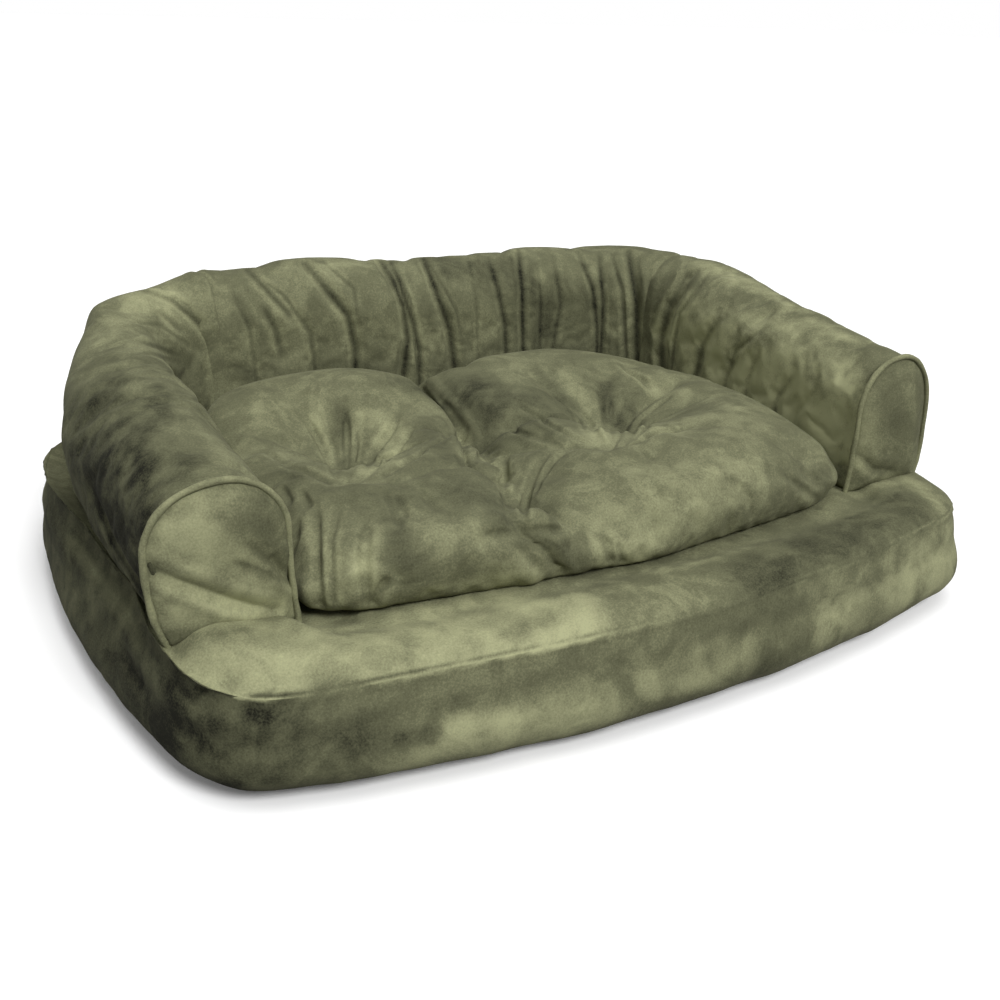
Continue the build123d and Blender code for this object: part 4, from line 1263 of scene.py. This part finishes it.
# the floor is bright where the camera sees it and darker where light bounces off it
def makeFloor():
    floor, node, link, shader = newMaterial("floor")
    setInputs(shader, {"Roughness": stageSet["floorRough"], "Specular IOR Level": 0,
                       "Emission Color": (1, 1, 1, 1)})
    path = node.new("ShaderNodeLightPath")
    tint = node.new("ShaderNodeMix")
    tint.data_type = "RGBA"
    setInputs(tint, {"A": (stageSet["bounce"],) * 3 + (1,), "B": (stageSet["floorSeen"],) * 3 + (1,)})
    link(path.outputs["Is Camera Ray"], tint.inputs["Factor"])
    link(tint.outputs["Result"], shader.inputs["Base Color"])
    glow = node.new("ShaderNodeMath")
    glow.operation = "MULTIPLY"
    glow.inputs[1].default_value = stageSet["floorGlow"]
    link(path.outputs["Is Camera Ray"], glow.inputs[0])
    link(glow.outputs[0], shader.inputs["Emission Strength"])
    bpy.ops.object.select_all(action="DESELECT")
    bpy.ops.mesh.primitive_plane_add(size=stageSet["floorSize"], location=(0, 0, 0))
    ground = bpy.context.active_object
    ground.name = "floor"
    ground.data.materials.append(floor)


def makeStage():
    makeFloor()
    world = bpy.data.worlds.new("studio")
    world.use_nodes = True
    bpy.context.scene.world = world
    node, link = world.node_tree.nodes, world.node_tree.links.new
    path = node.new("ShaderNodeLightPath")
    level = node.new("ShaderNodeMapRange")
    setInputs(level, {"To Min": stageSet["fill"], "To Max": 1})
    link(path.outputs["Is Camera Ray"], level.inputs["Value"])
    link(level.outputs["Result"], node["Background"].inputs["Strength"])
    node["Background"].inputs["Color"].default_value = (1, 1, 1, 1)
    for name, azimuth, elevation, strength, spread in stageSet["lamps"]:
        lamp = bpy.data.lights.new(name, "SUN")
        lamp.angle = math.radians(spread)
        lamp.energy = strength
        holder = addObject(name, lamp)
        turned, above = math.radians(azimuth), math.radians(elevation)
        flat = math.cos(above)
        toLamp = Vector((math.sin(turned) * flat, -math.cos(turned) * flat, math.sin(above)))
        holder.location = toLamp * stageSet["lampDistance"]
        holder.rotation_euler = toLamp.to_track_quat("Z", "Y").to_euler()
    print("stage set")


# where the back rest is sewn to the arms: a place on the roll's middle line, and the line's way
def rollSeams():
    turn, radius = math.radians(rollSet["turnAngle"]), rollSet["turnRadius"]
    along, height = rollSet["backMiddle"], rollSet["seamHeight"]
    right = (rollSet["armMiddle"] - radius + radius * math.cos(turn),
             along - radius + radius * math.sin(turn), height)
    return (((rollSet["leftSeam"], along, height), (1, 0, 0)),
            (right, (-math.sin(turn), math.cos(turn), 0)))


bpy.context.scene.view_settings.view_transform = "Standard"
makeCamera()
makeStage()
baseSuede, rollSuede, cushionSuede = (makeSuede(name, seed) for name, seed in (
    ("baseSuede", 1), ("rollSuede", 4), ("cushionSuede", 7)))
pipingSuede = makeSuede("pipingSuede", 9, lighter=0.15)
makeBase(baseSuede)
leftSeam, rightSeam = rollSeams()
for name, cover, folds, marks, ends, seed in (
        ("leftArm", "left_arm", leftArmFolds, leftArmMarks, [leftSeam], 11),
        ("backRest", "back", backFolds, backMarks, [leftSeam, rightSeam], 12),
        ("rightArm", "right_arm", rightArmFolds, rightArmMarks, [rightSeam], 13)):
    makeRoll(name, cover + "_cover", cover + "_filling", folds, marks, rollSuede, ends, seed)
makeFacing("leftFacing", "left_arm_facing", leftFacingFolds, leftFacingMarks, rollSuede)
makeFacing("rightFacing", "right_arm_facing", rightFacingFolds, rightFacingMarks, rollSuede)
makeCushion(cushionSuede)
for side, name in ((-1, "left"), (1, "right")):
    makePiping(name + "Piping", name + "_arm_piping", name + "_arm_facing", side, pipingSuede)
for name, values in details.items():
    dressNodes(name, *values)
print("zip and tuft ties dressed")
